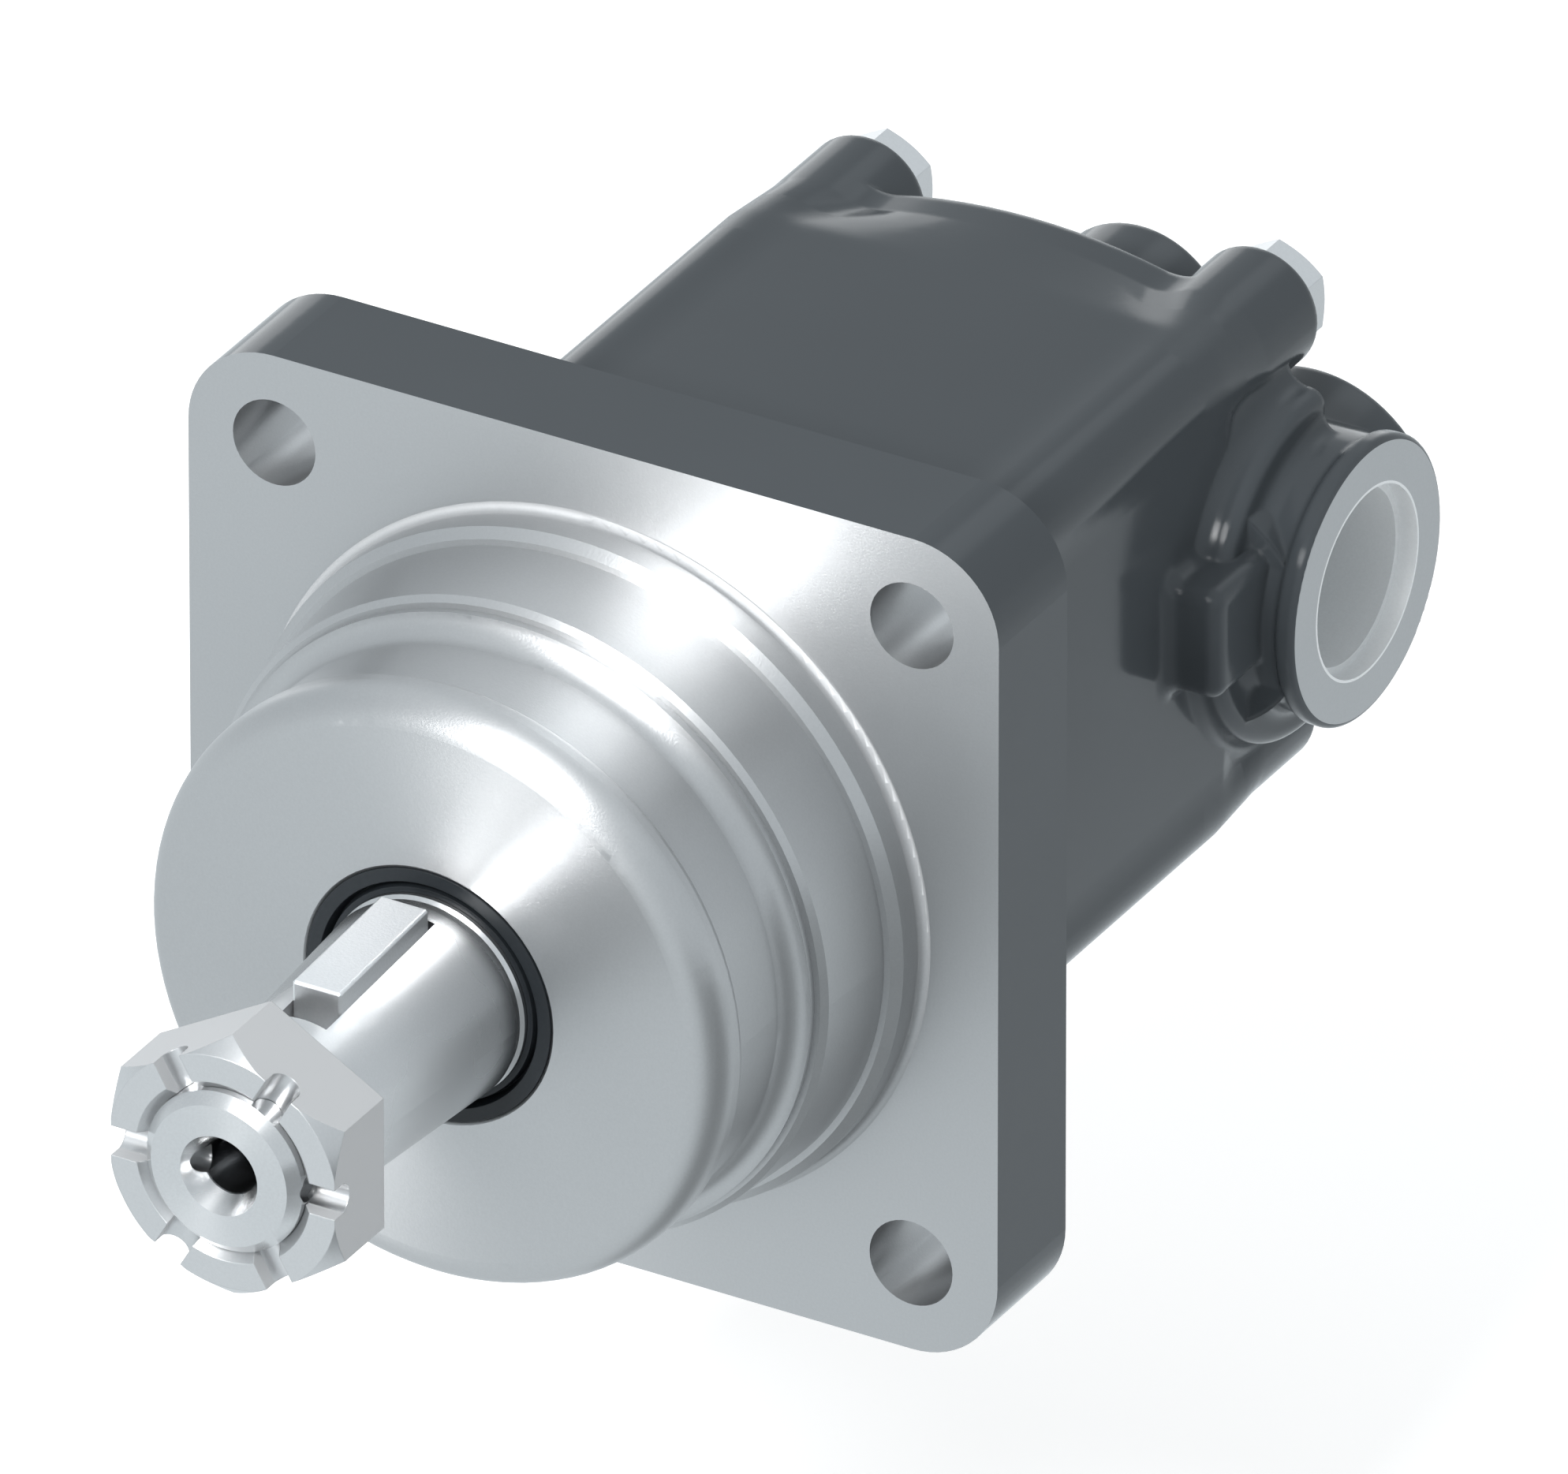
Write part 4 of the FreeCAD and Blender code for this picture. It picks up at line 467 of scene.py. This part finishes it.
world = bpy.data.worlds.new("surroundings")
bpy.context.scene.world = world
world.use_nodes = True
nodes, links = world.node_tree.nodes, world.node_tree.links
nodes.clear()


def background(colour, strength):
    node = nodes.new("ShaderNodeBackground")
    feed(links, node.inputs["Color"], colour)
    feed(links, node.inputs["Strength"], strength)
    return node


direction = parted(nodes, links, nodes.new("ShaderNodeTexCoord").outputs["Generated"])
facing = 0.0
for part, share in zip(direction, Vector(sky["patch"]).normalized()):
    facing = calc(nodes, links, "MULTIPLY_ADD", part, share, facing)
patchLimits = [math.cos(math.radians(sky[key])) for key in ("patchOuter", "patchInner")]
glow = mapRange(nodes, links, facing, patchLimits, (1.0, 1.0 + sky["patchGlow"]), "SMOOTHSTEP")
mirrored = background(ramp(nodes, links, direction[2], sky["mirrored"]), glow)
plain = background(sky["white"], 1.0)
soft = background(sky["soft"], sky["softStrength"])
rays = nodes.new("ShaderNodeLightPath").outputs
seen = chosenBy(nodes, links, rays["Is Camera Ray"], soft, plain)
worldOut = nodes.new("ShaderNodeOutputWorld")
links.new(chosenBy(nodes, links, rays["Is Glossy Ray"], seen, mirrored).outputs[0],
          worldOut.inputs["Surface"])

# soft lamps, all turned to one point in the motor
lamps = dict(
    keyLamp=dict(at=(-0.24, -1.16, 0.15), size=(0.24, 0.24), watts=4.5),
    neckLamp=dict(at=(0.02, -0.95, 0.78), size=(0.38, 0.30), watts=12.5),
    rearLamp=dict(at=(-0.9, 1.2, 0.15), size=(1.0, 0.7), watts=2.2),
)
lampTarget = Vector((0, 0.02, 0))
for name, lamp in lamps.items():
    data = bpy.data.lights.new(name, "AREA")
    data.shape = "RECTANGLE"
    data.size, data.size_y = lamp["size"]
    data.energy = lamp["watts"]
    light = bpy.data.objects.new(name, data)
    light.location = lamp["at"]
    light.rotation_euler = (lampTarget - light.location).to_track_quat("-Z", "Y").to_euler()
    bpy.context.scene.collection.objects.link(light)
print("studio and lamps ready")

# camera at the photograph's angle, far away with a long lens
view = dict(azimuth=30.0, elevation=30.0, width=0.22267, lens=1250.0, sensor=36.0, right=0.02716,
            up=0.01646, clip=(0.1, 60.0))
azimuth, elevation = math.radians(view["azimuth"]), math.radians(view["elevation"])
back = Vector((math.sin(azimuth) * math.cos(elevation), -math.cos(azimuth) * math.cos(elevation),
               math.sin(elevation)))
right = Vector((math.cos(azimuth), math.sin(azimuth), 0))
up = back.cross(right)
camera = bpy.data.objects.new("camera", bpy.data.cameras.new("camera"))
bpy.context.scene.collection.objects.link(camera)
camera.data.sensor_width = view["sensor"]
camera.data.lens = view["lens"]
camera.data.clip_start, camera.data.clip_end = view["clip"]
distance = view["width"] * view["lens"] / view["sensor"]
camera.location = right * view["right"] + up * view["up"] + back * distance
camera.rotation_mode = "QUATERNION"
camera.rotation_quaternion = (-back).to_track_quat("-Z", "Y")
bpy.context.scene.camera = camera
bpy.context.scene.view_settings.view_transform = "Standard"
